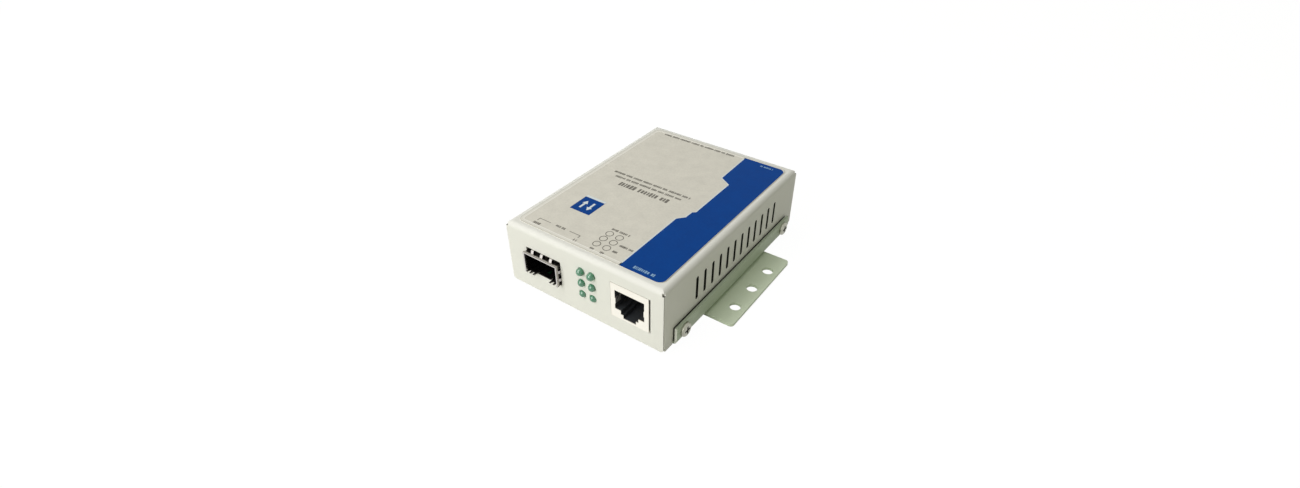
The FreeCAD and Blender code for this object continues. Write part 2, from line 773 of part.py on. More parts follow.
def make_case_screw(name, sign, y):
    """One screw: its head stands out from the flange's face, its shank runs into the case."""
    body = new_body(name)
    leftward = sign == "-"
    seat = "%s(%s)" % (sign, FLANGE)
    face = "%s(%s + Sizes.head_height)" % (sign, FLANGE)
    head = new_sketch(body, name + "_head_outline", "YZ", seat)
    add_circle(head, y, SCREW_Z, "Sizes.head_width")
    pad(body, name + "_head", head, "Sizes.head_height", reverse=leftward)
    reach = size("case_width") / 2 + size("flange_gap") + size("base_sheet") + size("head_height")
    round_edges(body, name + "_crown", "Sizes.head_crown", lambda p, e: near(abs(p.x), reach))
    shank = new_sketch(body, name + "_shank_outline", "YZ", seat)
    add_circle(shank, y, SCREW_Z, "Sizes.thread")
    pad(body, name + "_shank", shank, "Sizes.case_screw_length", reverse=not leftward)
    for arm, across, up in (
        ("level", "Sizes.recess_width", "Sizes.recess_slot"),
        ("upright", "Sizes.recess_slot", "Sizes.recess_width"),
    ):
        slot = new_sketch(body, "%s_%s_outline" % (name, arm), "YZ", face)
        add_rectangle(
            slot,
            "%s - %s / 2" % (y, across),
            "%s - %s / 2" % (SCREW_Z, up),
            "%s + %s / 2" % (y, across),
            "%s + %s / 2" % (SCREW_Z, up),
        )
        cut(body, "%s_%s" % (name, arm), slot, "Sizes.recess_depth", reverse=leftward)


def board_holes():
    """Expressions for the four fixing holes of the circuit board, with their names."""
    places = []
    ends = (("front", FRONT + " + Sizes.front_hole_inset"), ("rear", BACK + " - Sizes.rear_hole_inset"))
    for end, y in ends:
        for side, sign in (("left", "-"), ("right", "")):
            x = "%s(%s - Sizes.board_hole_inset)" % (sign, SIDE)
            places.append((x, y, "%s_%s" % (end, side)))
    return places


def make_standoffs():
    """Round spacers pressed into the tray, each with a threaded bore and a screw."""
    for x, y, name in board_holes():
        label = "standoff_" + name
        wide, tall = "Sizes.standoff_width", "Sizes.standoff_height"
        column = rod(label + "_column", x, y, TRAY_TOP, wide, tall, "+Z")
        spigot = rod(label + "_spigot", x, y, UNDER, "Sizes.standoff_spigot", "Sizes.base_sheet", "+Z")
        bore = rod(label + "_bore", x, y, "0", "Sizes.thread", BOARD, "+Z")
        keep(subtract(label, fuse(label + "_blank", [column, spigot]), [bore]), label)
        screw = "board_screw_" + name
        head = rod(
            screw + "_head",
            x,
            y,
            BOARD,
            "Sizes.board_screw_head",
            "Sizes.board_screw_head_height",
            "+Z",
        )
        start = BOARD + " - Sizes.board_screw_length"
        shank = rod(screw + "_shank", x, y, start, "Sizes.thread", "Sizes.board_screw_length", "+Z")
        slot_z = BOARD + " + Sizes.board_screw_head_height / 2"
        arms = [
            block(
                screw + "_" + arm,
                "%s - %s / 2" % (x, across),
                "%s - %s / 2" % (y, along),
                slot_z,
                across,
                along,
                "Sizes.board_screw_head_height",
            )
            for arm, across, along in (
                ("wide", "Sizes.recess_width", "Sizes.recess_slot"),
                ("deep", "Sizes.recess_slot", "Sizes.recess_width"),
            )
        ]
        keep(subtract(screw, fuse(screw + "_blank", [head, shank]), arms), screw)


# ---------------------------------------------------------------------------------------------
# Circuit board
# ---------------------------------------------------------------------------------------------


def make_circuit_board():
    body = new_body("circuit_board")
    outline = new_sketch(body, "board_outline", "XY", BOARD_UNDER)
    across = "(" + SIDE + " - Sizes.cover_sheet - Sizes.board_side_gap)"
    along = "(" + BACK + " - Sizes.cover_sheet - Sizes.board_end_gap)"
    add_rectangle(outline, "-" + across, "-" + along, across, along)
    for x, y, _ in board_holes():
        add_circle(outline, x, y, "Sizes.clearance_hole")
    pad(body, "board", outline, "Sizes.board_sheet")
    return body


# ---------------------------------------------------------------------------------------------
# SFP slot
# ---------------------------------------------------------------------------------------------


def make_sfp_cage():
    """A tube of thin sheet, open in front, with a sprung latch tongue in its floor and soldered legs."""
    body = new_body("sfp_cage")
    front = "-(" + CAGE_FRONT + ")"
    outline = new_sketch(body, "cage_outline", "XZ", front)
    add_rectangle(outline, CAGE_LEFT, SFP_Z, CAGE_RIGHT, CAGE_TOP)
    pad(body, "cage_block", outline, "Sizes.cage_length", reverse=True)
    hollow = new_sketch(body, "cage_inside", "XZ", front)
    gauge = "Sizes.cage_sheet"
    add_rectangle(
        hollow,
        CAGE_LEFT + " + " + gauge,
        SFP_Z + " + " + gauge,
        CAGE_RIGHT + " - " + gauge,
        CAGE_TOP + " - " + gauge,
    )
    cut(body, "cage_hollow", hollow, "Sizes.cage_length - " + gauge)
    cut_cage_floor(body)
    cut_floor_front(body)
    legs = new_sketch(body, "cage_leg_outline", "XY", BOARD)
    start = FRONT + " + Sizes.cage_leg_pitch / 2"
    for x0, x1 in ((CAGE_LEFT, CAGE_LEFT + " + " + gauge), (CAGE_RIGHT + " - " + gauge, CAGE_RIGHT)):
        add_rectangle(legs, x0, start, x1, start + " + Sizes.cage_leg_width")
    leg = pad(body, "cage_leg", legs, "Sizes.sfp_floor + %s - (%s) + %s" % (UNDER, BOARD, gauge))
    repeat(body, "cage_leg_row", leg, "Y", "Sizes.cage_legs", "Sizes.cage_leg_pitch")
    return body


def cut_cage_floor(body):
    """Slots beside the latch tongue, its catch window, and the opening over the connector."""
    floor = new_sketch(body, "cage_floor_cuts", "XY", SFP_Z)
    tongue_front = CAGE_FRONT + " + Sizes.notch_depth"
    for sign in ("-", "+"):
        inner = "%s %s Sizes.latch_width / 2" % (SFP_X, sign)
        outer = "%s %s (Sizes.latch_width / 2 + Sizes.latch_slot)" % (SFP_X, sign)
        add_rectangle(floor, inner, tongue_front, outer, tongue_front + " + Sizes.latch_length")
    window = "Sizes.latch_window / 2"
    middle = tongue_front + " + Sizes.latch_length / 2"
    add_outline(
        floor,
        [
            ("%s - %s" % (SFP_X, window), "%s - %s" % (middle, window)),
            ("%s + %s" % (SFP_X, window), "%s - %s" % (middle, window)),
            (SFP_X, "%s + %s" % (middle, window)),
        ],
    )
    wide = "(Sizes.sfp_connector_width / 2 + Sizes.cage_sheet)"
    rear = CAGE_BACK + " - Sizes.cage_sheet"
    add_rectangle(
        floor,
        SFP_X + " - " + wide,
        rear + " - Sizes.sfp_connector_depth - 2 * Sizes.cage_sheet",
        SFP_X + " + " + wide,
        rear,
    )
    cut(body, "cage_floor_cut", floor, "Sizes.cage_sheet", reverse=True)


def cut_floor_front(body):
    """The floor's front edge: a wide notch before the tongue, and two teeth on each side of it."""
    edge = new_sketch(body, "floor_front_cuts", "XY", SFP_Z)
    notch = "Sizes.notch_width / 2"
    back = CAGE_FRONT + " + Sizes.notch_depth"
    add_rectangle(edge, SFP_X + " - " + notch, CAGE_FRONT, SFP_X + " + " + notch, back)
    for sign in ("-", "+"):
        for number in (1, 2):
            start = "(%s + %d * Sizes.tooth_width + %d * Sizes.tooth_slot)" % (notch, number, number - 1)
            x0 = "%s %s %s" % (SFP_X, sign, start)
            x1 = "%s %s (%s + Sizes.tooth_slot)" % (SFP_X, sign, start)
            add_rectangle(edge, x0, CAGE_FRONT, x1, CAGE_FRONT + " + Sizes.tooth_depth")
    cut(body, "floor_front_cut", edge, "Sizes.cage_sheet", reverse=True)


def bow(along, across, sign, crest):
    """A spring finger's side view: it leaves the cage, bears on the panel's cut-out and returns.

    Along is the expression of the panel's front face, across that of the cage's outside, sign
    says which way the finger bows and crest how far away the edge of the cut-out is."""
    gauge = "Sizes.finger_sheet"
    band_end = "Sizes.collar_band - Sizes.cage_reach"
    lift = "(%s - %s)" % (crest, gauge)
    behind = "Sizes.cover_sheet + Sizes.finger_rest"
    inner = [
        (band_end + " - " + gauge, "0"),
        (band_end + " + " + gauge, "0"),
        ("-Sizes.finger_rest", lift),
        (behind, lift),
        (behind + " + Sizes.finger_tail", "0"),
        (behind + " + 2 * Sizes.finger_tail", "0"),
    ]
    points = inner + [(y, "%s + %s" % (rise, gauge)) for y, rise in reversed(inner)]
    return [("%s + %s" % (along, y), "%s %s (%s)" % (across, sign, rise)) for y, rise in points]


def make_emi_collar():
    """A saddle of spring strip over the cage's mouth whose fingers bear on the panel's cut-out."""
    body = new_body("sfp_spring_collar")
    band = new_sketch(body, "band_outline", "XZ", "-(" + CAGE_FRONT + ")")
    gauge = "Sizes.finger_sheet"
    add_outline(
        band,
        [
            (CAGE_LEFT + " - " + gauge, SFP_Z),
            (CAGE_LEFT, SFP_Z),
            (CAGE_LEFT, CAGE_TOP),
            (CAGE_RIGHT, CAGE_TOP),
            (CAGE_RIGHT, SFP_Z),
            (CAGE_RIGHT + " + " + gauge, SFP_Z),
            (CAGE_RIGHT + " + " + gauge, CAGE_TOP + " + " + gauge),
            (CAGE_LEFT + " - " + gauge, CAGE_TOP + " + " + gauge),
        ],
    )
    pad(body, "band", band, "Sizes.collar_band", reverse=True)
    first = SFP_X + " - Sizes.finger_pitch * (Sizes.finger_count - 1) / 2"
    upright = new_sketch(body, "upright_fingers", "YZ", first)
    add_outline(upright, bow(FRONT, CAGE_TOP, "+", "Sizes.cutout_top"))
    finger = pad_both(body, "upright_finger", upright, "Sizes.finger_width")
    repeat(body, "upright_row", finger, "X", "Sizes.finger_count", "Sizes.finger_pitch")
    middle = SFP_Z + " + Sizes.cage_height / 2"
    lowest = middle + " - Sizes.finger_side_pitch * (Sizes.finger_side_count - 1) / 2"
    level = new_sketch(body, "level_fingers", "XY", lowest)
    sides = ((CAGE_LEFT, "-", "Sizes.cutout_left"), (CAGE_RIGHT, "+", "Sizes.cutout_right"))
    for across, sign, crest in sides:
        add_outline(level, [(x, y) for y, x in bow(FRONT, across, sign, crest)])
    side_fingers = pad_both(body, "level_finger", level, "Sizes.finger_width")
    repeat(body, "level_row", side_fingers, "Z", "Sizes.finger_side_count", "Sizes.finger_side_pitch")
    return body


def make_sfp_connector():
    """The edge connector that the module's contact board pushes into, standing on the board."""
    wide = "Sizes.sfp_connector_width"
    y = CAGE_BACK + " - 2 * Sizes.cage_sheet - Sizes.sfp_connector_depth"
    x = "%s - %s / 2" % (SFP_X, wide)
    height = "(%s + Sizes.sfp_connector_height - (%s))" % (SFP_Z, BOARD)
    shell = block("connector_block", x, y, BOARD, wide, "Sizes.sfp_connector_depth", height)
    slot = block(
        "connector_slot",
        "%s - Sizes.sfp_slot_width / 2" % SFP_X,
        y,
        "%s + Sizes.sfp_connector_height / 2 - Sizes.sfp_slot_height / 2" % SFP_Z,
        "Sizes.sfp_slot_width",
        "Sizes.sfp_slot_depth",
        "Sizes.sfp_slot_height",
    )
    keep(subtract("sfp_connector", shell, [slot]), "sfp_connector")


# ---------------------------------------------------------------------------------------------
# RJ45 socket
# ---------------------------------------------------------------------------------------------


def plug_outline():
    """The socket's mouth, wide for the plug and stepped down to the latch channel."""
    steps = [
        ("Sizes.plug_width", "Sizes.plug_top"),
        ("Sizes.plug_width", "Sizes.plug_shoulder"),
        ("Sizes.latch_step_width", "Sizes.plug_shoulder"),
        ("Sizes.latch_step_width", "Sizes.latch_step"),
        ("Sizes.latch_floor_width", "Sizes.latch_step"),
        ("Sizes.latch_floor_width", "Sizes.latch_floor"),
    ]
    left = [(JACK_X + " - %s / 2" % width, BOARD + " + " + rise) for width, rise in steps]
    right = [(JACK_X + " + %s / 2" % width, BOARD + " + " + rise) for width, rise in reversed(steps)]
    return left + right


def make_rj45_shield():
    """A bright shell of thin sheet over the front, top, sides and back of the socket."""
    body = new_body("rj45_shield")
    outline = new_sketch(body, "shield_outline", "XY", BOARD)
    add_rectangle(outline, JACK_LEFT, FRONT, JACK_RIGHT, JACK_BACK)
    pad(body, "shield_block", outline, "Sizes.jack_height")
    inside = new_sketch(body, "shield_inside", "XY", BOARD)
    gauge = "Sizes.shield_sheet"
    add_rectangle(
        inside,
        JACK_LEFT + " + " + gauge,
        FRONT + " + " + gauge,
        JACK_RIGHT + " - " + gauge,
        JACK_BACK + " - " + gauge,
    )
    cut(body, "shield_hollow", inside, "Sizes.jack_height - " + gauge, reverse=True)
    mouth = new_sketch(body, "shield_mouth", "XZ", "-(" + FRONT + ")")
    add_outline(mouth, plug_outline())
    cut(body, "shield_opening", mouth, gauge)
    add_ground_springs(body)
    return body


def add_ground_springs(body):
    """Two tabs folded from the shield's face into the mouth, bulging a little towards the plug."""
    middle = BOARD + " + Sizes.plug_top - Sizes.ground_spring_drop"
    springs = new_sketch(body, "ground_spring_outline", "XY", middle)
    gauge = "Sizes.shield_sheet"
    for sign, turned in (("-", "+"), ("+", "-")):
        wall = "%s %s Sizes.plug_width / 2" % (JACK_X, sign)
        bulge = "%s %s Sizes.ground_spring_bulge" % (wall, turned)
        add_outline(
            springs,
            [
                (wall, FRONT),
                (wall, FRONT + " + Sizes.ground_spring_depth"),
                (bulge, FRONT + " + Sizes.ground_spring_depth - 2 * " + gauge),
                ("%s %s %s" % (wall, turned, gauge), FRONT),
            ],
        )
    pad_both(body, "ground_springs", springs, "Sizes.ground_spring_height")


def make_rj45_housing():
    """The moulded socket body inside the shield, with the stepped cavity for plug and latch."""
    body = new_body("rj45_housing")
    gauge = "Sizes.shield_sheet"
    outline = new_sketch(body, "housing_outline", "XY", BOARD)
    add_rectangle(
        outline,
        JACK_LEFT + " + " + gauge,
        FRONT + " + " + gauge,
        JACK_RIGHT + " - " + gauge,
        JACK_BACK + " - " + gauge,
    )
    pad(body, "housing_block", outline, "Sizes.jack_height - " + gauge)
    cavity = new_sketch(body, "plug_cavity", "XZ", "-(" + FRONT + " + " + gauge + ")")
    add_outline(cavity, plug_outline())
    cut(body, "plug_cut", cavity, "Sizes.plug_depth")
    return body


def make_rj45_contacts():
    """Eight spring wires that hang from the cavity's roof and lean back into it."""
    body = new_body("rj45_contacts")
    first = "%s - Sizes.contact_pitch * (Sizes.contact_count - 1) / 2" % JACK_X
    outline = new_sketch(body, "contact_outline", "YZ", first)
    roof = BOARD + " + Sizes.plug_top"
    back = FRONT + " + Sizes.shield_sheet + Sizes.plug_depth"
    wire = "Sizes.contact_width"
    run = back + " - Sizes.contact_run"
    tip = back + " - Sizes.contact_tip"
    low = roof + " - Sizes.contact_drop"
    add_outline(
        outline,
        [
            (back, roof),
            (run, roof),
            (run, roof + " - " + wire),
            (tip, low),
            (tip + " + " + wire, low + " + " + wire),
            (run + " + 2 * " + wire, roof + " - " + wire),
            (back, roof + " - " + wire),
        ],
    )
    contact = pad_both(body, "contact", outline, wire)
    repeat(body, "contact_row", contact, "X", "Sizes.contact_count", "Sizes.contact_pitch")
    return body


# ---------------------------------------------------------------------------------------------
# Lamps
# ---------------------------------------------------------------------------------------------

HOLDER_FRONT = FRONT + " + Sizes.cover_sheet + Sizes.holder_gap"
HOLDER_BACK = FRONT + " - Sizes.lamp_reach + Sizes.lamp_length"


def lamp_tip(row):
    """The front end of the lamps of one row; the upper rows stand further out of the panel."""
    return FRONT + " - Sizes.lamp_reach - Sizes.lamp_reach_step * %d" % row


def make_lamps():
    """Six domed lamps, two by three, whose leads run back and down to the circuit board."""
    for x, z, column, row in lamp_places():
        name = "lamp_%s_%s" % (("lower", "middle", "upper")[row], ("left", "right")[column])
        root = lamp_tip(row) + " + Sizes.lamp_width / 2"
        back = lamp_tip(row) + " + Sizes.lamp_length"
        dome = doc.addObject("Part::Sphere", name + "_dome")
        dome.setExpression("Radius", "Sizes.lamp_width / 2")
        place(dome, x, root, z)
        length = "Sizes.lamp_length - Sizes.lamp_width / 2"
        stem = rod(name + "_stem", x, root, z, "Sizes.lamp_width", length, "+Y")
        rim_y = back + " - Sizes.lamp_rim_length"
        rim = rod(name + "_rim", x, rim_y, z, "Sizes.lamp_rim", "Sizes.lamp_rim_length", "+Y")
        pieces = [dome, stem, rim]
        run = "Sizes.lead_pitch * %d" % (row + 1)
        wire = "Sizes.lead_width"
        drop_y = "%s + %s - %s" % (back, run, wire)
        drop = "%s + %s / 2 - (%s)" % (z, wire, BOARD)
        for side in ("-", "+"):
            lead_x = "%s %s Sizes.lead_pitch / 2 - %s / 2" % (x, side, wire)
            tag = name + ("_left" if side == "-" else "_right")
            pieces.append(block(tag + "_run", lead_x, back, z + " - " + wire + " / 2", wire, run, wire))
            pieces.append(block(tag + "_drop", lead_x, drop_y, BOARD, wire, wire, drop))
        keep(fuse(name, pieces), name)


def make_lamp_holder():
    """A moulded block on the circuit board that carries the six lamps at their heights."""
    x0 = LAMP_X + " - Sizes.lamp_pitch / 2 - Sizes.holder_side"
    width = "Sizes.lamp_pitch + 2 * Sizes.holder_side"
    top = UNDER + " + Sizes.lamp_row_base + 2 * Sizes.lamp_row_pitch + Sizes.holder_side"
    depth = "%s - (%s)" % (HOLDER_BACK, HOLDER_FRONT)
    shell = block("holder_block", x0, HOLDER_FRONT, BOARD, width, depth, "%s - (%s)" % (top, BOARD))
    tools = []
    for x, z, column, row in lamp_places():
        tag = "holder_%d%d" % (column, row)
        tools.append(rod(tag + "_bore", x, HOLDER_FRONT, z, "Sizes.lamp_width", depth, "+Y"))
        seat = lamp_tip(row) + " + Sizes.lamp_length - Sizes.lamp_rim_length"
        room = "Sizes.lamp_rim_length + Sizes.lamp_reach_step * %d" % row
        tools.append(rod(tag + "_seat", x, seat, z, "Sizes.lamp_rim", room, "+Y"))
    keep(subtract("lamp_holder", shell, tools), "lamp_holder")


# ---------------------------------------------------------------------------------------------
# Power inlet
# ---------------------------------------------------------------------------------------------

INLET_FACE = BACK + " - Sizes.cover_sheet - Sizes.inlet_play"


def make_power_inlet():
    """A barrel-jack socket on the circuit board whose round nose fills the hole in the back."""
    x0 = INLET_X + " - Sizes.inlet_width / 2"
    y0 = INLET_FACE + " - Sizes.inlet_depth"
    shell_size = ("Sizes.inlet_width", "Sizes.inlet_depth", "Sizes.inlet_height")
    shell = block("inlet_block", x0, y0, BOARD, *shell_size)
    nose_length = "Sizes.cover_sheet + Sizes.inlet_play"
    nose = rod("inlet_nose_rod", INLET_X, INLET_FACE, INLET_Z, "Sizes.inlet_nose", nose_length, "+Y")
    bore_size = ("Sizes.inlet_bore", "Sizes.inlet_bore_depth")
    bore = rod("inlet_bore_rod", INLET_X, BACK, INLET_Z, *bore_size, "-Y")
    housing = fuse("inlet_blank", [shell, nose])
    keep(subtract("power_inlet_housing", housing, [bore]), "power_inlet_housing")
    root = BACK + " - Sizes.inlet_bore_depth"
    length = "Sizes.inlet_bore_depth - Sizes.inlet_pin"
    stem = rod("inlet_pin_stem", INLET_X, root, INLET_Z, "Sizes.inlet_pin", length, "+Y")
    tip = doc.addObject("Part::Sphere", "inlet_pin_tip")
    tip.setExpression("Radius", "Sizes.inlet_pin / 2")
    place(tip, INLET_X, "%s + %s" % (root, length), INLET_Z)
    keep(fuse("power_inlet_pin", [stem, tip]), "power_inlet_pin")
    leaf_x = INLET_X + " - Sizes.inlet_leaf_width / 2"
    floor = "sqrt((Sizes.inlet_bore / 2) ^ 2 - (Sizes.inlet_leaf_width / 2) ^ 2)"
    leaf_z = "%s - %s" % (INLET_Z, floor)
    leaf = ("Sizes.inlet_leaf_width", "Sizes.inlet_leaf_length", "Sizes.inlet_leaf_sheet")
    keep(block("power_inlet_contact", leaf_x, root, leaf_z, *leaf), "power_inlet_contact")


# ---------------------------------------------------------------------------------------------
# Components on the circuit board
# ---------------------------------------------------------------------------------------------


def row_of_leads(name, x, y, count, pitch, outward):
    """Flat leads in a row along X, standing on the board; outward is their signed way along Y."""
    breadth, reach, gauge = "Sizes.lead_breadth", "Sizes.lead_reach", "Sizes.lead_sheet"
    start = y if outward > 0 else "%s - %s" % (y, reach)
    leads = []
    for number in range(count):
        lead_x = "%s + %s * %s - %s / 2" % (x, pitch, number - (count - 1) / 2, breadth)
        leads.append(block("%s_%d" % (name, number), lead_x, start, BOARD, breadth, reach, gauge))
    return leads


def column_of_leads(name, x, y, count, pitch, outward):
    """As a row of leads, but along Y, with their way out along X."""
    breadth, reach, gauge = "Sizes.lead_breadth", "Sizes.lead_reach", "Sizes.lead_sheet"
    start = x if outward > 0 else "%s - %s" % (x, reach)
    leads = []
    for number in range(count):
        lead_y = "%s + %s * %s - %s / 2" % (y, pitch, number - (count - 1) / 2, breadth)
        leads.append(block("%s_%d" % (name, number), start, lead_y, BOARD, reach, breadth, gauge))
    return leads


def package(name, x, y, width, depth, height):
    """A moulded package standing on the board."""
    x0 = "%s - %s / 2" % (x, width)
    y0 = "%s - %s / 2" % (y, depth)
    return block(name, x0, y0, BOARD, width, depth, height)


def make_two_row_package(label, x, y, width, depth, height):
    """A package with a row of leads along its front and back, named after its own sizes."""
    kind = label.split("_")[-1]
    count = int(size(kind + "_leads"))
    pitch = "Sizes.%s_lead_pitch" % kind
    pieces = [package(label + "_mould", x, y, width, depth, height)]
    for side, sign, outward in (("front", "-", -1), ("back", "+", 1)):
        edge = "%s %s %s / 2" % (y, sign, depth)
        pieces += row_of_leads("%s_%s" % (label, side), x, edge, count, pitch, outward)
    keep(fuse(label, pieces), label)


def make_converter_chip():
    """The square converter chip with leads on all four sides."""
    label = "converter_chip"
    x, y, width = "Sizes.chip_x", "Sizes.chip_y", "Sizes.chip_width"
    pieces = [package(label + "_mould", x, y, width, width, "Sizes.chip_height")]
    count = int(size("chip_leads"))
    pitch = "Sizes.chip_lead_pitch"
    for side, sign, outward in (("low", "-", -1), ("high", "+", 1)):
        edge_y = "%s %s %s / 2" % (y, sign, width)
        edge_x = "%s %s %s / 2" % (x, sign, width)
        pieces += row_of_leads("%s_row_%s" % (label, side), x, edge_y, count, pitch, outward)
        pieces += column_of_leads("%s_column_%s" % (label, side), edge_x, y, count, pitch, outward)
    keep(fuse(label, pieces), label)


def make_can(label, x, y, width, height):
    """An electrolytic capacitor: an upright can with a rolled bead near its foot."""
    can = rod(label + "_can", x, y, BOARD, width, height, "+Z")
    bead = doc.addObject("Part::Torus", label + "_bead")
    bead.setExpression("Radius1", "%s / 2" % width)
    bead.setExpression("Radius2", "Sizes.can_bead / 2")
    place(bead, x, y, BOARD + " + Sizes.can_bead_rise")
    keep(subtract(label, can, [bead]), label)


def make_chip_passives():
    """Small chip resistors and capacitors in rows behind the memory."""
    chips = []
    for column in range(int(size("passive_columns"))):
        for row in range(int(size("passive_rows"))):
            x = "Sizes.passive_column_pitch * %d - Sizes.regulator_left - Sizes.passive_shift" % column
            y = BACK + " - Sizes.passive_inset + Sizes.passive_row_pitch * %d" % row
            sizes = ("Sizes.passive_width", "Sizes.passive_depth", "Sizes.passive_height")
            chips.append(package("passive_%d_%d" % (column, row), x, y, *sizes))
    group = doc.addObject("Part::Compound", "chip_passives")
    group.Links = chips
    keep(group, "chip_passives")


def make_board_components():
    """Everything else that the converter needs on its circuit board."""
    make_converter_chip()
    memory_x = SFP_X + " - Sizes.memory_shift"
    memory_y = CAGE_BACK + " + Sizes.memory_gap"
    memory = ("Sizes.memory_width", "Sizes.memory_depth", "Sizes.memory_height")
    make_two_row_package("config_memory", memory_x, memory_y, *memory)
    transformer_y = JACK_BACK + " + Sizes.transformer_gap"
    transformer = ("Sizes.transformer_width", "Sizes.transformer_depth", "Sizes.transformer_height")
    transformer_x = JACK_X + " - Sizes.transformer_left"
    make_two_row_package("ethernet_transformer", transformer_x, transformer_y, *transformer)
    crystal = ("Sizes.crystal_width", "Sizes.crystal_depth", "Sizes.crystal_height")
    keep(package("crystal", "Sizes.crystal_x", "Sizes.chip_y", *crystal), "crystal")
    power_y = BACK + " - Sizes.power_inset"
    inductor = ("Sizes.inductor_width", "Sizes.inductor_width", "Sizes.inductor_height")
    keep(package("power_inductor", "Sizes.inductor_x", power_y, *inductor), "power_inductor")
    regulator = ("Sizes.regulator_width", "Sizes.regulator_depth", "Sizes.regulator_height")
    make_two_row_package("voltage_regulator", "-Sizes.regulator_left", power_y, *regulator)
    can_y = BACK + " - Sizes.can_inset"
    input_can = ("Sizes.input_can", "Sizes.input_can_height")
    make_can("input_capacitor", INLET_X + " - Sizes.input_can_shift", can_y, *input_can)
    output_can = ("Sizes.output_can", "Sizes.output_can_height")
    make_can("output_capacitor", "-Sizes.output_can_left", can_y, *output_can)
    make_chip_passives()


make_top_cover()
make_base_tray()
make_mounting_plate()
make_top_label()
make_case_screws()
make_standoffs()
make_circuit_board()
make_sfp_cage()
make_emi_collar()
make_sfp_connector()
make_rj45_shield()
make_rj45_housing()
make_rj45_contacts()
make_lamps()
make_lamp_holder()
make_power_inlet()
make_board_components()

# ---------------------------------------------------------------------------------------------
# Check and write
# ---------------------------------------------------------------------------------------------

doc.recompute()

for item in doc.Objects:
    if "Invalid" in item.State or "Error" in item.State:
        raise RuntimeError("%s failed: %s" % (item.Name, item.State))

os.makedirs("parts", exist_ok=True)
for item in parts:
    if item.Shape.isNull() or not item.Shape.isValid():
        raise RuntimeError("%s has no valid shape" % item.Label)
    item.Shape.exportStep("parts/%s.step" % item.Label)
    print("%-26s %9.2f mm3" % (item.Label, item.Shape.Volume), item.Shape.BoundBox)
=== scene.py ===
"""Looks of the fibre media converter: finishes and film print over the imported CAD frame.

Everything is in metres in the part's own frame: X to the right of the front panel, Y from the
front to the back, Z up, with the mounting plate's underside at zero.
"""

import json
import math

import bpy
import numpy as np
from mathutils import Matrix, Vector


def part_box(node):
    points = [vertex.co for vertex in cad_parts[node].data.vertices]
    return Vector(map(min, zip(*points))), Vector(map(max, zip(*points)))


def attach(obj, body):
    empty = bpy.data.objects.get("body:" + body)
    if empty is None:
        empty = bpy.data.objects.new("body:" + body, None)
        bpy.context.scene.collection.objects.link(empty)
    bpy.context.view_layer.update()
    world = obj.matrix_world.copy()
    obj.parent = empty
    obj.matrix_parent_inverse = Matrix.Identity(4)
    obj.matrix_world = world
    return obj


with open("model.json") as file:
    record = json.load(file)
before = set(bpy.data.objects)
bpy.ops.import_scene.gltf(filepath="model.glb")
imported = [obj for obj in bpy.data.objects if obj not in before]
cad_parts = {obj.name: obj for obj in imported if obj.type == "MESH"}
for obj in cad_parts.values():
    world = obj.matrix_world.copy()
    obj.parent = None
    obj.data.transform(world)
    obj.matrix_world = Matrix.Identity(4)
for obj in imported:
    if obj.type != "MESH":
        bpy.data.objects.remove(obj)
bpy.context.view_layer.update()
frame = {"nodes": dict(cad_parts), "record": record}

MM = 0.001
scene = bpy.context.scene

# ---------------------------------------------------------------------------------------------
# Places taken from the frame
# ---------------------------------------------------------------------------------------------

CASE_LOW, CASE_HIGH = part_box("top_cover")
FILM_LOW, FILM_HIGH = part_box("top_label")
TRAY_LOW, TRAY_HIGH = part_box("base_tray")
SHEET = 1.0 * MM  # thickness of the cover and of the tray
SKIN = 0.03 * MM  # between a box of another colour and the face that keeps its own
FLANGE_INSET = 5.8 * MM  # of a tray flange's ends from the front and from the back of the case


def on_film(across, along):
    """A place on the film, given in millimetres from the case's front left corner."""
    return CASE_LOW.x + across * MM, CASE_LOW.y + along * MM


# ---------------------------------------------------------------------------------------------
# Building with shader nodes
# ---------------------------------------------------------------------------------------------

MIX_FIRST, MIX_SECOND, MIX_RESULT = 6, 7, 2  # a Mix node's sockets when it mixes colours


def feed(tree, socket, term):
    """The socket is linked when the term is a socket too, and set when it is a value."""
    if isinstance(term, bpy.types.NodeSocket):
        tree.links.new(term, socket)
    else:
        socket.default_value = term


def calculate(tree, operation, *terms):
    """A Math node whose inputs are linked to sockets or set to numbers; gives its result."""
    node = tree.nodes.new("ShaderNodeMath")
    node.operation = operation
    for socket, term in zip(node.inputs, terms):
        feed(tree, socket, term)
    return node.outputs[0]


def mix_colours(tree, factor, first, second):
    """A colour that runs from the first, a colour or a socket, to the second with the factor."""
    mix = tree.nodes.new("ShaderNodeMix")
    mix.data_type = "RGBA"
    tree.links.new(factor, mix.inputs["Factor"])
    for number, colour in ((MIX_FIRST, first), (MIX_SECOND, second)):
        feed(tree, mix.inputs[number], (*colour, 1) if isinstance(colour, tuple) else colour)
    return mix.outputs[MIX_RESULT]


# ---------------------------------------------------------------------------------------------
# Camera and light
# ---------------------------------------------------------------------------------------------

FOCUS = Vector((0, 0, 12.0)) * MM  # the middle of the case, which every light faces
WHITE = (1.0, 1.0, 1.0)


def aim_rotation(azimuth, elevation, roll):
    """Camera axes: right is level, forward looks down on the object, then both turn by the roll."""
    a, e, r = (math.radians(v) for v in (azimuth, elevation, roll))
    back = Vector((math.sin(a) * math.cos(e), -math.cos(a) * math.cos(e), math.sin(e)))
    level = Vector((0, 0, 1)).cross(back).normalized()
    upright = back.cross(level)
    right = math.cos(r) * level + math.sin(r) * upright
    up = -math.sin(r) * level + math.cos(r) * upright
    return Matrix((right, up, back)).transposed()


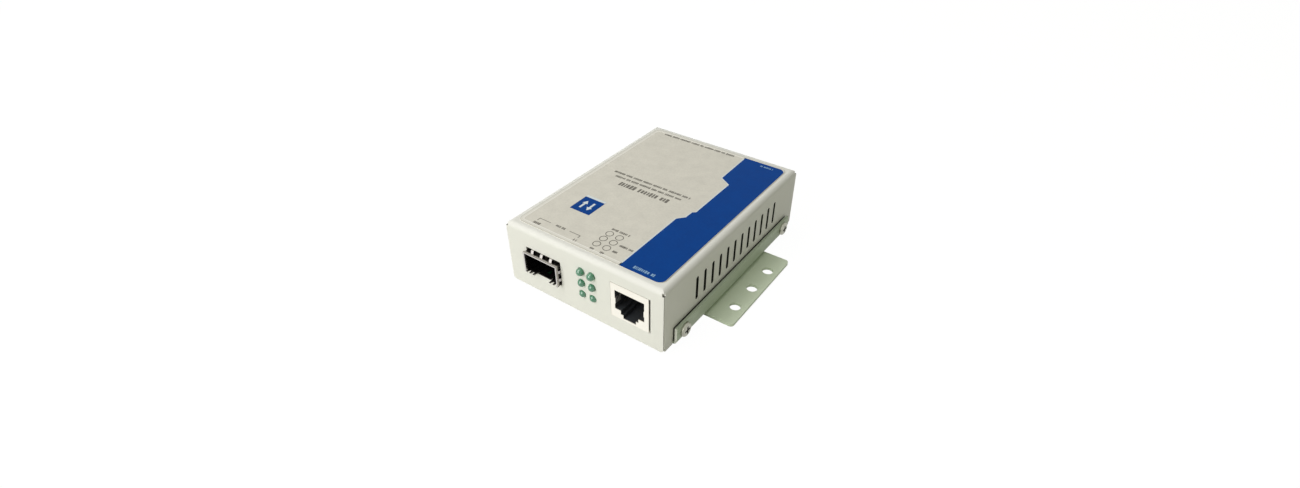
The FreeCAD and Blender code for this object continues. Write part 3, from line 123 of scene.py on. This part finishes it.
def make_camera():
    """A wide lens close to the front right corner, looking down on the case."""
    turn = aim_rotation(azimuth=35.587, elevation=36.28, roll=-0.022)
    aim = Vector((0.687, -7.405, 8.247)) * MM
    distance = 259.23 * MM
    data = bpy.data.cameras.new("camera")
    data.sensor_width = 36.0
    data.lens = 18.177
    data.clip_start = 0.005
    camera = bpy.data.objects.new("camera", data)
    camera.matrix_world = Matrix.Translation(aim + turn.col[2] * distance) @ turn.to_4x4()
    scene.collection.objects.link(camera)
    scene.camera = camera


def add_area(name, direction, distance, side, power, colour):
    """A square soft light that faces the case's middle from a direction."""
    towards = Vector(direction).normalized()
    data = bpy.data.lights.new(name, "AREA")
    data.shape = "SQUARE"
    data.size = side
    data.energy = power
    data.color = colour
    light = bpy.data.objects.new(name, data)
    turn = towards.to_track_quat("Z", "Y").to_matrix().to_4x4()
    light.matrix_world = Matrix.Translation(FOCUS + towards * distance) @ turn
    scene.collection.objects.link(light)


def seen_or_mirrored(tree):
    """One for rays from the camera, off gloss and through clear matter, and zero for the rest."""
    path = tree.nodes.new("ShaderNodeLightPath")
    mirrored = calculate(
        tree, "MAXIMUM", path.outputs["Is Glossy Ray"], path.outputs["Is Transmission Ray"]
    )
    return calculate(tree, "MAXIMUM", path.outputs["Is Camera Ray"], mirrored)


def make_world():
    """An even pale surround: white to the eye and in reflections, softer and warmer as a light."""
    world = bpy.data.worlds.new("surround")
    scene.world = world
    world.use_nodes = True
    tree = world.node_tree
    colour = mix_colours(tree, seen_or_mirrored(tree), (0.235, 0.235, 0.20), WHITE)
    tree.links.new(colour, tree.nodes["Background"].inputs["Color"])


def make_floor():
    """A plain pale floor that keeps a faint shadow and looks white: it glows to the eye."""
    half = 3.0
    glow_strength, glow_share = 1.04, 0.94
    corners = [(-half, -half, 0), (half, -half, 0), (half, half, 0), (-half, half, 0)]
    mesh = bpy.data.meshes.new("floor")
    mesh.from_pydata(corners, [], [(0, 1, 2, 3)])
    floor = bpy.data.objects.new("floor", mesh)
    scene.collection.objects.link(floor)
    material = bpy.data.materials.new("floor")
    material.use_nodes = True
    tree = material.node_tree
    tree.nodes.clear()
    output = tree.nodes.new("ShaderNodeOutputMaterial")
    matt = tree.nodes.new("ShaderNodeBsdfDiffuse")
    matt.inputs["Color"].default_value = (0.70, 0.72, 0.62, 1)
    glow = tree.nodes.new("ShaderNodeEmission")
    glow.inputs["Strength"].default_value = glow_strength
    mix = tree.nodes.new("ShaderNodeMixShader")
    share = calculate(tree, "MULTIPLY", seen_or_mirrored(tree), glow_share)
    tree.links.new(share, mix.inputs["Fac"])
    tree.links.new(matt.outputs[0], mix.inputs[1])
    tree.links.new(glow.outputs[0], mix.inputs[2])
    tree.links.new(mix.outputs[0], output.inputs["Surface"])
    mesh.materials.append(material)


def make_lights():
    """A broad light before the panel, another overhead, and a small one for sharp glints."""
    distance = 0.9
    add_area("key", (-0.29, -0.85, 0.40), distance, 0.7, 5.25, (1.0, 0.99, 0.985))
    add_area("spark", (-0.30, -0.50, 0.80), distance, 0.12, 0.7, WHITE)
    add_area("overhead", (-0.28, -0.05, 1.0), distance, 0.75, 3.25, (1.0, 1.0, 0.97))


scene.view_settings.view_transform = "Standard"
make_camera()
make_world()
make_floor()
make_lights()

# ---------------------------------------------------------------------------------------------
# Shared effects, as node groups
# ---------------------------------------------------------------------------------------------


def new_group(name, inputs, outputs):
    """An empty shader node group with number inputs (name to default) and number outputs."""
    group = bpy.data.node_groups.new(name, "ShaderNodeTree")
    for label, default in inputs.items():
        socket = group.interface.new_socket(label, in_out="INPUT", socket_type="NodeSocketFloat")
        socket.default_value = default
    for label in outputs:
        group.interface.new_socket(label, in_out="OUTPUT", socket_type="NodeSocketFloat")
    entry = group.nodes.new("NodeGroupInput")
    leave = group.nodes.new("NodeGroupOutput")
    return group, entry, leave


def add_noise(group, vector, scale, detail):
    """Noise at the places that the vector gives; gives its value."""
    noise = group.nodes.new("ShaderNodeTexNoise")
    noise.inputs["Detail"].default_value = detail
    group.links.new(vector, noise.inputs["Vector"])
    group.links.new(scale, noise.inputs["Scale"])
    return noise.outputs["Fac"]


def make_grain_group():
    """Speckle in three dimensions: the value varies softly round one half, at two scales."""
    group, entry, leave = new_group("speckle", {"Scale": 900.0, "Share": 0.5}, ["Value"])
    place = group.nodes.new("ShaderNodeTexCoord").outputs["Object"]
    scale = entry.outputs["Scale"]
    broad_share = 0.14  # of the fine noise's scale
    broad_scale = calculate(group, "MULTIPLY", scale, broad_share)
    mix = group.nodes.new("ShaderNodeMix")
    group.links.new(entry.outputs["Share"], mix.inputs["Factor"])
    group.links.new(add_noise(group, place, broad_scale, detail=2.0), mix.inputs["A"])
    group.links.new(add_noise(group, place, scale, detail=3.0), mix.inputs["B"])
    group.links.new(mix.outputs["Result"], leave.inputs["Value"])
    return group


def make_streak_group():
    """Rolling marks of bright sheet: noise drawn out along the case's depth."""
    group, entry, leave = new_group("streaks", {"Scale": 1.0}, ["Value"])
    place = group.nodes.new("ShaderNodeTexCoord")
    stretch = group.nodes.new("ShaderNodeMapping")
    across_marks, along_marks = 2600.0, 160.0
    stretch.inputs["Scale"].default_value = (across_marks, along_marks, across_marks)
    group.links.new(place.outputs["Object"], stretch.inputs["Vector"])
    noise = add_noise(group, stretch.outputs["Vector"], entry.outputs["Scale"], detail=2.0)
    group.links.new(noise, leave.inputs["Value"])
    return group


def make_box_group():
    """One between two heights and between two distances from the middle planes, zero elsewhere.

    X and Y are taken without their sign, so one box marks both sides of the case at once.
    """
    labels = [end + " " + axis for axis in "XYZ" for end in ("Low", "High")]
    group, entry, leave = new_group("inside_box", dict.fromkeys(labels, 0.0), ["Value"])
    place = group.nodes.new("ShaderNodeTexCoord")
    split = group.nodes.new("ShaderNodeSeparateXYZ")
    group.links.new(place.outputs["Object"], split.inputs[0])
    total = None
    for axis in "XYZ":
        distance = split.outputs[axis]
        if axis != "Z":
            distance = calculate(group, "ABSOLUTE", distance)
        above = calculate(group, "GREATER_THAN", distance, entry.outputs["Low " + axis])
        below = calculate(group, "LESS_THAN", distance, entry.outputs["High " + axis])
        within = calculate(group, "MULTIPLY", above, below)
        total = within if total is None else calculate(group, "MULTIPLY", total, within)
    group.links.new(total, leave.inputs["Value"])
    return group


SPECKLE = make_grain_group()
STREAKS = make_streak_group()
INSIDE = make_box_group()

# ---------------------------------------------------------------------------------------------
# Materials
# ---------------------------------------------------------------------------------------------


def new_material(name, **sockets):
    """A material with one Principled shader whose named sockets are set."""
    material = bpy.data.materials.new(name)
    material.use_nodes = True
    shader = material.node_tree.nodes["Principled BSDF"]
    for label, setting in sockets.items():
        shader.inputs[label.replace("_", " ")].default_value = setting
    return material, shader


def place_group(material, group, **settings):
    """A shared effect in the material, with its inputs set; gives its value."""
    node = material.node_tree.nodes.new("ShaderNodeGroup")
    node.node_tree = group
    for label, setting in settings.items():
        node.inputs[label].default_value = setting
    return node.outputs["Value"]


def tint(colour, factor):
    """The colour made lighter or darker by a factor."""
    return tuple(channel * factor for channel in colour)


def vary(material, shader, value, colour, spread, roughness, strength, depth):
    """Base colour, roughness and relief all follow the value.

    The colour runs from the given one less the spread to the given one and the spread more, the
    roughness between its two ends, and the relief has a strength and a depth in metres.
    """
    tree = material.node_tree
    shade = mix_colours(tree, value, tint(colour, 1 - spread), tint(colour, 1 + spread))
    tree.links.new(shade, shader.inputs["Base Color"])
    ramp = tree.nodes.new("ShaderNodeMapRange")
    ramp.inputs["To Min"].default_value, ramp.inputs["To Max"].default_value = roughness
    tree.links.new(value, ramp.inputs["Value"])
    tree.links.new(ramp.outputs["Result"], shader.inputs["Roughness"])
    bump = tree.nodes.new("ShaderNodeBump")
    bump.inputs["Strength"].default_value = strength
    bump.inputs["Distance"].default_value = depth
    tree.links.new(value, bump.inputs["Height"])
    tree.links.new(bump.outputs["Normal"], shader.inputs["Normal"])


def recolour_boxes(material, boxes, colour):
    """Inside the boxes, each given by its low and high corner, the base colour is another one."""
    tree = material.node_tree
    shader = tree.nodes["Principled BSDF"]
    total = 0.0
    for low, high in boxes:
        settings = {"Low " + axis: value for axis, value in zip("XYZ", low)}
        settings |= {"High " + axis: value for axis, value in zip("XYZ", high)}
        total = calculate(tree, "MAXIMUM", total, place_group(material, INSIDE, **settings))
    own = shader.inputs["Base Color"].links[0].from_socket
    tree.links.new(mix_colours(tree, total, own, colour), shader.inputs["Base Color"])


def speckled(name, colour, spread, roughness, scale, strength, depth, **sockets):
    """A paint, plastic or ink whose colour, roughness and relief follow the speckle."""
    material, shader = new_material(name, **sockets)
    value = place_group(material, SPECKLE, Scale=scale)
    vary(material, shader, value, colour, spread, roughness, strength, depth)
    return material


def streaked(name, colour, spread, roughness, strength, depth):
    """Bright plated sheet whose tone and relief follow the rolling marks."""
    material, shader = new_material(name, Metallic=1.0)
    value = place_group(material, STREAKS, Scale=1.0)
    vary(material, shader, value, colour, spread, roughness, strength, depth)
    return material


def ink(name, colour, spread=0.04, roughness=(0.45, 0.55), scale=1500.0, depth=0.02, **sockets):
    """A dull print; the depth of its grain is in millimetres."""
    strength = 0.1
    return speckled(name, colour, spread, roughness, scale, strength, depth * MM, **sockets)


def painted_hollow_shade_boxes():
    """Painted shade: the case's hollow, the vents' reveals and the open corner joints, drawn near
    black.
    """
    side, end, top = CASE_HIGH.x, CASE_HIGH.y, CASE_HIGH.z
    hollow = SHEET - SKIN
    vents_end, vents_low, vents_high = 31.0 * MM, 11.0 * MM, 22.0 * MM
    joint, joint_low, joint_drop = 1.2 * MM, 2.0 * MM, 1.7 * MM
    return (
        ((0, 0, CASE_LOW.z + hollow), (side - hollow, end - hollow, top - hollow)),
        ((0, 0, vents_low), (side - SKIN, vents_end, vents_high)),
        ((side - joint, end - joint, joint_low), (side - SKIN, end - SKIN, top - joint_drop)),
    )


def painted_gap_shade_boxes():
    """Painted shade: the cover behind the tray's flanges, and the reliefs at the corners, drawn
    dark.
    """
    side, end, top = CASE_HIGH.x, CASE_HIGH.y, CASE_HIGH.z
    gap_low, gap_play = 2.5 * MM, 0.1 * MM
    gap_end = end - FLANGE_INSET + gap_play
    relief, relief_low, relief_high = 0.85 * MM, 1.8 * MM, 1.1 * MM
    return (
        ((side - SKIN, 0, gap_low), (TRAY_HIGH.x - SHEET + SKIN, gap_end, TRAY_HIGH.z - SKIN)),
        (
            (side - relief, end - relief, top - relief_low),
            (side - SKIN, end - SKIN, top - relief_high),
        ),
    )


def powder_coat(name, colour):
    """Satin powder coat with a fine orange peel, with painted shade in the case's hollow, the
    vents' reveals and the corner joints, behind the tray's flanges and in the corner reliefs.
    """
    gloss = {"Specular_IOR_Level": 0.25}
    material = speckled(name, colour, 0.02, (0.40, 0.55), 700.0, 0.25, 0.06 * MM, **gloss)
    # Painted shade: near black in the hollow, the vents' reveals and the corner joints.
    recolour_boxes(material, painted_hollow_shade_boxes(), (0.03, 0.03, 0.028))
    # Painted shade: dark in the gap behind the tray's flanges and in the corner reliefs.
    recolour_boxes(material, painted_gap_shade_boxes(), (0.10, 0.095, 0.08))
    return material


def film_print():
    """The film's ground: a warm grey print with a fine grain under a dull surface."""
    gloss = {"Specular_IOR_Level": 0.35}
    colour, roughness = (0.665, 0.64, 0.575), (0.52, 0.66)
    return speckled("film_ground", colour, 0.2, roughness, 1500.0, 0.12, 0.03 * MM, **gloss)


def lamp_resin():
    """Tinted clear resin over a dark seat: deep green with a sharp gloss."""
    gloss = {"Coat_Weight": 1.0, "Specular_IOR_Level": 0.9, "Transmission_Weight": 0.55}
    colour, roughness = (0.06, 0.42, 0.20), (0.05, 0.12)
    return speckled("lamp_resin", colour, 0.1, roughness, 500.0, 0.05, 0.02 * MM, **gloss)


def slot_cage():
    """Plated sheet with painted shade: dark over all of the cage behind the rim of the slot's
    mouth.
    """
    material = streaked("cage_sheet", (0.72, 0.69, 0.66), 0.12, (0.18, 0.42), 0.4, 0.04 * MM)
    low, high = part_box("sfp_cage")
    lip, around = 0.8 * MM, 1.0 * MM
    inner = (-high.x - around, 0, low.z - around)
    outer = (-low.x + around, -low.y - lip, high.z + around)
    # Painted shade: the cage is drawn dark except for its front rim.
    recolour_boxes(material, [(inner, outer)], (0.10, 0.092, 0.085))
    return material


def screw_plating():
    """Dull plated steel, with painted shade in the cross recess of each head."""
    material = streaked("screw_plating", (0.36, 0.36, 0.295), 0.2, (0.25, 0.45), 0.3, 0.03 * MM)
    low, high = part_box("case_screw_front_right")
    middle, reach, crown = (low + high) / 2, 1.4 * MM, 0.06 * MM
    inner = (low.x, -middle.y - reach, middle.z - reach)
    outer = (high.x - crown, -middle.y + reach, middle.z + reach)
    # Painted shade: the cross recess of each head drawn near black.
    recolour_boxes(material, [(inner, outer)], (0.03, 0.028, 0.022))
    return material


def tray_shaded_coat():
    """The tray's coat: a darker, greener copy of the cover's as painted shade, with painted light
    on the cut ends of its flanges.
    """
    # Painted shade: the tray's coat is darker than the cover's.
    material = powder_coat("tray_shaded_coat", (0.50, 0.575, 0.45))
    # Painted light: the flanges' cut ends at the front and back drawn pale, as if lit.
    inner = (TRAY_HIGH.x - SHEET + SKIN, CASE_HIGH.y - FLANGE_INSET - SKIN, TRAY_LOW.z)
    outer = (TRAY_HIGH.x - SKIN, CASE_HIGH.y, TRAY_HIGH.z)
    recolour_boxes(material, [(inner, outer)], (0.86, 0.875, 0.81))
    return material


# The lower sheets take coats of their own: the tray's a darker copy of the cover's as painted
# shade, the plate's paler than the tray and greener than the cover.
LOWER_COATS = {
    "base_tray": tray_shaded_coat(),
    "mounting_plate": powder_coat("plate_coat", (0.70, 0.785, 0.615)),
}
# Streaked finishes: colour, spread, roughness, and the strength and depth of the relief.
PLATED = {
    "spring_strip": ((0.42, 0.40, 0.38), 0.10, (0.22, 0.36), 0.2, 0.02 * MM),
    "tinned_shell": ((0.91, 0.88, 0.79), 0.04, (0.34, 0.5), 0.2, 0.03 * MM),
    "gold_wire": ((0.85, 0.60, 0.22), 0.1, (0.15, 0.3), 0.2, 0.02 * MM),
    "plated_contact": ((0.8, 0.79, 0.76), 0.05, (0.1, 0.25), 0.2, 0.02 * MM),
}
# Speckled finishes: colour, spread, roughness, scale, and the strength and depth of the relief.
MOULDED = {
    "board_mask": ((0.02, 0.13, 0.05), 0.2, (0.25, 0.4), 600.0, 0.2, 0.04 * MM),
    "moulded_black": ((0.030, 0.034, 0.039), 0.25, (0.38, 0.55), 2200.0, 0.3, 0.04 * MM),
    "ferrite": ((0.05, 0.05, 0.055), 0.3, (0.5, 0.7), 1500.0, 0.4, 0.06 * MM),
    "ceramic": ((0.30, 0.22, 0.15), 0.2, (0.4, 0.6), 1500.0, 0.2, 0.03 * MM),
}
plated = {name: streaked(name, *looks) for name, looks in PLATED.items()}
moulded = {name: speckled(name, *looks) for name, looks in MOULDED.items()}
FINISHES = {
    "case_paint": powder_coat("powder_coat", (0.76, 0.755, 0.715)),
    "label_film": film_print(),
    "board_laminate": moulded["board_mask"],
    "cage_metal": slot_cage(),
    "spring_metal": plated["spring_strip"],
    "connector_plastic": moulded["moulded_black"],
    "shield_metal": plated["tinned_shell"],
    "case_screw_steel": screw_plating(),
    "contact_gold": plated["gold_wire"],
    "contact_metal": plated["plated_contact"],
    "lamp_lens": lamp_resin(),
    "inductor_ferrite": moulded["ferrite"],
    "passive_ceramic": moulded["ceramic"],
}
ALIASES = {  # slots that share another slot's finish
    "socket_plastic": "connector_plastic",
    "holder_plastic": "connector_plastic",
    "inlet_plastic": "connector_plastic",
    "chip_plastic": "connector_plastic",
    "crystal_can": "contact_metal",
    "capacitor_can": "spring_metal",
    "board_screw_steel": "cage_metal",
    "standoff_steel": "cage_metal",
}


def dress_nodes():
    """Each CAD node takes the finish of its slot, and the lower sheets their own coats."""
    for entry in frame["record"]["subparts"]:
        slot = entry["material_slot"]
        finish = LOWER_COATS.get(entry["node"]) or FINISHES[ALIASES.get(slot, slot)]
        for place in frame["nodes"][entry["node"]].material_slots:
            place.material = finish


dress_nodes()

# ---------------------------------------------------------------------------------------------
# Printed shapes on the film
# ---------------------------------------------------------------------------------------------

INK = 0.03 * MM  # thickness of a printed shape, and the step from one layer to the next
GROUND, PRINT, OVERPRINT = INK, 2 * INK, 3 * INK  # heights of the three layers above the film
FILM_CORNER = 2.6  # radius of the film's corners, in millimetres, as are all sizes below
CORNER_POINTS = 12  # points round each rounded corner

DEEP_BLUE = (0.002, 0.050, 0.255)
BLUE_INK = ink("blue_ink", DEEP_BLUE, 0.22, (0.5, 0.6), 1200.0, 0.03, Specular_IOR_Level=0.06)
GREY_INK = ink("grey_ink", (0.13, 0.12, 0.10), 0.10, (0.5, 0.6))
PALE_INK = ink("pale_ink", (0.66, 0.72, 0.74))
LEGEND_INK = ink("legend_ink", (0.22, 0.38, 0.56))


def add_print(name, points, faces, material):
    """A printed shape from an array of points and one of faces, with its thickness below them."""
    mesh = bpy.data.meshes.new(name)
    mesh.from_pydata(points.reshape(-1, 3).tolist(), [], faces.tolist())
    mesh.materials.append(material)
    mesh.update()
    piece = bpy.data.objects.new(name, mesh)
    scene.collection.objects.link(piece)
    solid = piece.modifiers.new("thickness", "SOLIDIFY")
    solid.thickness = INK
    solid.offset = -1
    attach(piece, "root")


def above_film(x, y, height):
    """Points at a height above the film's face."""
    return np.stack([x, y, np.full_like(x, FILM_HIGH.z + height)], axis=-1)


def grid_faces(rows, columns):
    """Quads of a grid of points, numbered row by row, facing up when X runs along a row."""
    first = np.arange(rows - 1)[:, None] * columns + np.arange(columns - 1)[None, :]
    first = first.ravel()
    return np.stack([first, first + 1, first + columns + 1, first + columns], axis=1)


def rounded_inset(along, start, end, radius):
    """How far a straight edge draws in near its ends, where quarter circles round its corners."""
    near = np.minimum(along - start, end - along)
    reach = np.clip(radius - near, 0, radius)
    return radius - np.sqrt(radius**2 - reach**2)


def print_strip(name, along, left, right, material, height, columns=9):
    """A flat strip between two edges: at each place along the case, points run left to right."""
    share = np.linspace(0, 1, columns)[None, :]
    across = left[:, None] * (1 - share) + right[:, None] * share
    x, y = on_film(across, along[:, None] * np.ones_like(share))
    add_print(name, above_film(x, y, height), grid_faces(len(along), columns), material)


FIELD_FRONT, FIELD_BACK, FIELD_RIGHT = 3.1, 91.3, 66.9
FIELD_CORNER = 2.6  # radius of the field's two right corners
OUTLINE_OUTSIDE, OUTLINE_INSIDE = 0.45, 0.2  # of the pale outline, past the left edge and under it
FIELD_EDGE = [  # the blue field's left edge, as place along the case and place across it
    (FIELD_FRONT, 49.9),
    (36.8, 49.9),
    (39.6, 52.3),
    (43.6, 52.4),
    (44.6, 53.6),
    (68.6, 53.6),
    (71.6, 48.7),
    (FIELD_BACK, 48.4),
]


def field_left(along):
    """The left edge as straight runs through its corners."""
    places, across = np.array(FIELD_EDGE).T
    return np.interp(along, places, across)


def make_blue_field():
    """The blue field down the film's right side, its right corners rounded, with a pale outline."""
    turn = FIELD_CORNER * (1 - np.cos(np.linspace(0, math.pi / 2, CORNER_POINTS)))
    corners = np.array(FIELD_EDGE)[1:-1, 0]
    along = np.unique(np.concatenate([FIELD_FRONT + turn, FIELD_BACK - turn, corners]))
    right = FIELD_RIGHT - rounded_inset(along, FIELD_FRONT, FIELD_BACK, FIELD_CORNER)
    left = field_left(along)
    print_strip("blue_field", along, left, right, BLUE_INK, PRINT)
    outside, inside = left - OUTLINE_OUTSIDE, left + OUTLINE_INSIDE
    print_strip("field_outline", along, outside, inside, PALE_INK, GROUND)


def bars(name, rectangles, material, height=PRINT):
    """Flat printed bars, each given by its low and then its high place across and along."""
    low_x, low_y, high_x, high_y = np.array(rectangles, float).T
    x = np.stack([low_x, high_x, high_x, low_x], axis=1)
    y = np.stack([low_y, low_y, high_y, high_y], axis=1)
    add_print(name, above_film(*on_film(x, y), height), np.arange(x.size).reshape(-1, 4), material)


def strokes(across_low, across_high, middle, height, word, seed):
    """A plain row of short upright bars in uneven groups, in the place of a line of print."""
    draw = np.random.default_rng(seed)
    # Shares of the row's height: the gap between two groups, then the least and the most of a
    # bar's width, of its height and of the gap after it.
    word_gap, thin, thick, short, tall, close, apart = 0.45, 0.16, 0.42, 0.75, 1.0, 0.12, 0.22
    rectangles = []
    across = across_low
    left_in_group = 0
    while across < across_high:
        if left_in_group == 0:
            across += word_gap * height
            left_in_group = int(draw.integers(word // 2, word + 3))
        width = height * draw.uniform(thin, thick)
        half = height * draw.uniform(short, tall) / 2
        rectangles.append((across, middle - half, across + width, middle + half))
        across += width + height * draw.uniform(close, apart)
        left_in_group -= 1
    return rectangles


def ring_points(centre_across, centre_along, inner, outer, count):
    """A flat ring: the angle runs round and the radius from the inner to the outer edge."""
    angle = np.linspace(0, 2 * math.pi, count, endpoint=False)[:, None]
    radius = np.array([inner, outer])[None, :]
    x, y = on_film(centre_across + radius * np.cos(angle), centre_along + radius * np.sin(angle))
    return above_film(x, y, PRINT)


def ring_faces(count, first=0):
    """Quads of a closed ring whose points are numbered in pairs, each inner one first."""
    step = np.arange(count)
    following = (step + 1) % count
    inner, outer = first + 2 * step, first + 2 * step + 1
    next_inner, next_outer = first + 2 * following, first + 2 * following + 1
    return np.stack([inner, outer, next_outer, next_inner], axis=1)


def frame_points(inset_outer, inset_inner, count=CORNER_POINTS):
    """A flat band round the film: each corner is a quarter turn about its own centre."""
    quarter = np.linspace(0, math.pi / 2, count)
    angle = np.concatenate([quarter + turn * math.pi / 2 for turn in range(4)])[:, None]
    sign_x = np.repeat([1, -1, -1, 1], count)[:, None]
    sign_y = np.repeat([1, 1, -1, -1], count)[:, None]
    radius = FILM_CORNER - np.array([inset_inner, inset_outer])[None, :]
    reach_x = (FILM_HIGH.x - FILM_LOW.x) / 2 / MM - FILM_CORNER
    reach_y = (FILM_HIGH.y - FILM_LOW.y) / 2 / MM - FILM_CORNER
    x = (FILM_HIGH.x + FILM_LOW.x) / 2 + (sign_x * reach_x + radius * np.cos(angle)) * MM
    y = (FILM_HIGH.y + FILM_LOW.y) / 2 + (sign_y * reach_y + radius * np.sin(angle)) * MM
    return above_film(x, y, GROUND)


def make_film_border():
    """A pale margin round the print: a faint dark edge of painted shadow, a light band and a
    lighter line in it.
    """
    bands = (
        # The dark edge is painted shadow along the film's edge.
        ("film_edge_shadow", 0.02, 0.24, ink("border_edge_shadow", (0.50, 0.49, 0.43), 0.05, (0.5, 0.6))),
        ("film_margin", 0.24, 1.15, ink("border_band", (0.72, 0.70, 0.64))),
        ("film_line", 1.15, 1.45, ink("border_line", (0.86, 0.84, 0.79), 0.03)),
    )
    for name, outer, inner, material in bands:
        points = frame_points(outer, inner)
        add_print(name, points, ring_faces(len(points)), material)


def make_lamp_key():
    """Six thin rings, laid out like the lamps below them on the panel."""
    count, inner, outer = 40, 1.27, 1.52
    places = [(across, along) for along in (8.1, 11.8, 15.3) for across in (36.1, 40.5)]
    points = [ring_points(*place, inner, outer, count) for place in places]
    faces = [ring_faces(count, number * 2 * count) for number in range(len(places))]
    add_print("lamp_key", np.stack(points), np.concatenate(faces), GREY_INK)


# Rows of print: low and high place across, middle along, height, and bars in a usual group.
GREY_ROWS = [
    (8.0, 43.5, 89.9, 1.3, 7),
    (10.0, 46.5, 51.1, 1.25, 8),
    (12.5, 44.0, 48.4, 1.25, 8),
    (16.8, 40.2, 44.6, 2.7, 5),
    (34.5, 42.0, 18.2, 1.2, 4),
    (42.8, 48.6, 11.8, 1.1, 9),
    (42.8, 45.2, 7.9, 1.1, 4),
    (35.2, 37.0, 5.0, 1.1, 3),
    (39.6, 41.4, 5.0, 1.1, 3),
    (8.4, 11.6, 5.4, 1.3, 4),
    (27.4, 28.9, 5.3, 1.2, 2),
    (16.8, 21.2, 8.3, 1.1, 5),
]
FIELD_ROWS = [(53.6, 62.4, 5.2, 1.5, 7), (56.2, 61.8, 89.0, 1.1, 5)]


def all_strokes(rows, first_seed):
    """The bars of several rows, each drawn with a seed of its own."""
    return [bar for seed, row in enumerate(rows, first_seed) for bar in strokes(*row, seed)]


def make_small_print():
    """Rows of plain strokes and bracket lines in the places of the film's small print."""
    bars("small_print", all_strokes(GREY_ROWS, 1), GREY_INK)
    foot, line = 6.9, 0.22
    low, high = 8.3 - line / 2, 8.3 + line / 2
    left_start, left_end, right_start, right_end = 9.5, 14.6, 23.6, 28.4
    brackets = [
        (left_start, low, left_end, high),
        (left_start - line, foot, left_start, high),
        (right_start, low, right_end, high),
        (right_end, foot, right_end + line, high),
    ]
    bars("port_brackets", brackets, GREY_INK)
    bars("field_print", all_strokes(FIELD_ROWS, 1 + len(GREY_ROWS)), LEGEND_INK, OVERPRINT)


def make_badge():
    """A plain blue square with two opposed arrows, the usual sign for conversion."""
    bars("badge", [(13.4, 20.0, 22.6, 29.4)], BLUE_INK)
    bars("badge_band", [(13.4, 29.5, 22.6, 30.6)], PALE_INK)
    shaft, barb, head = 0.45, 1.2, 2.0  # half widths of the shaft and head, and the head's length
    arrows = (("badge_arrow_up", 16.3, 22.2, 27.4), ("badge_arrow_down", 19.7, 27.2, 22.0))
    for name, across, base, tip in arrows:
        sign = 1 if tip > base else -1
        neck = tip - sign * head
        outline = [
            (across - shaft, base),
            (across + shaft, base),
            (across + shaft, neck),
            (across + barb, neck),
            (across, tip),
            (across - barb, neck),
            (across - shaft, neck),
        ]
        if sign < 0:
            outline.reverse()
        points = above_film(*on_film(*np.array(outline).T), OVERPRINT)
        add_print(name, points, np.arange(len(outline))[None, :], PALE_INK)


make_film_border()
make_blue_field()
make_lamp_key()
make_small_print()
make_badge()
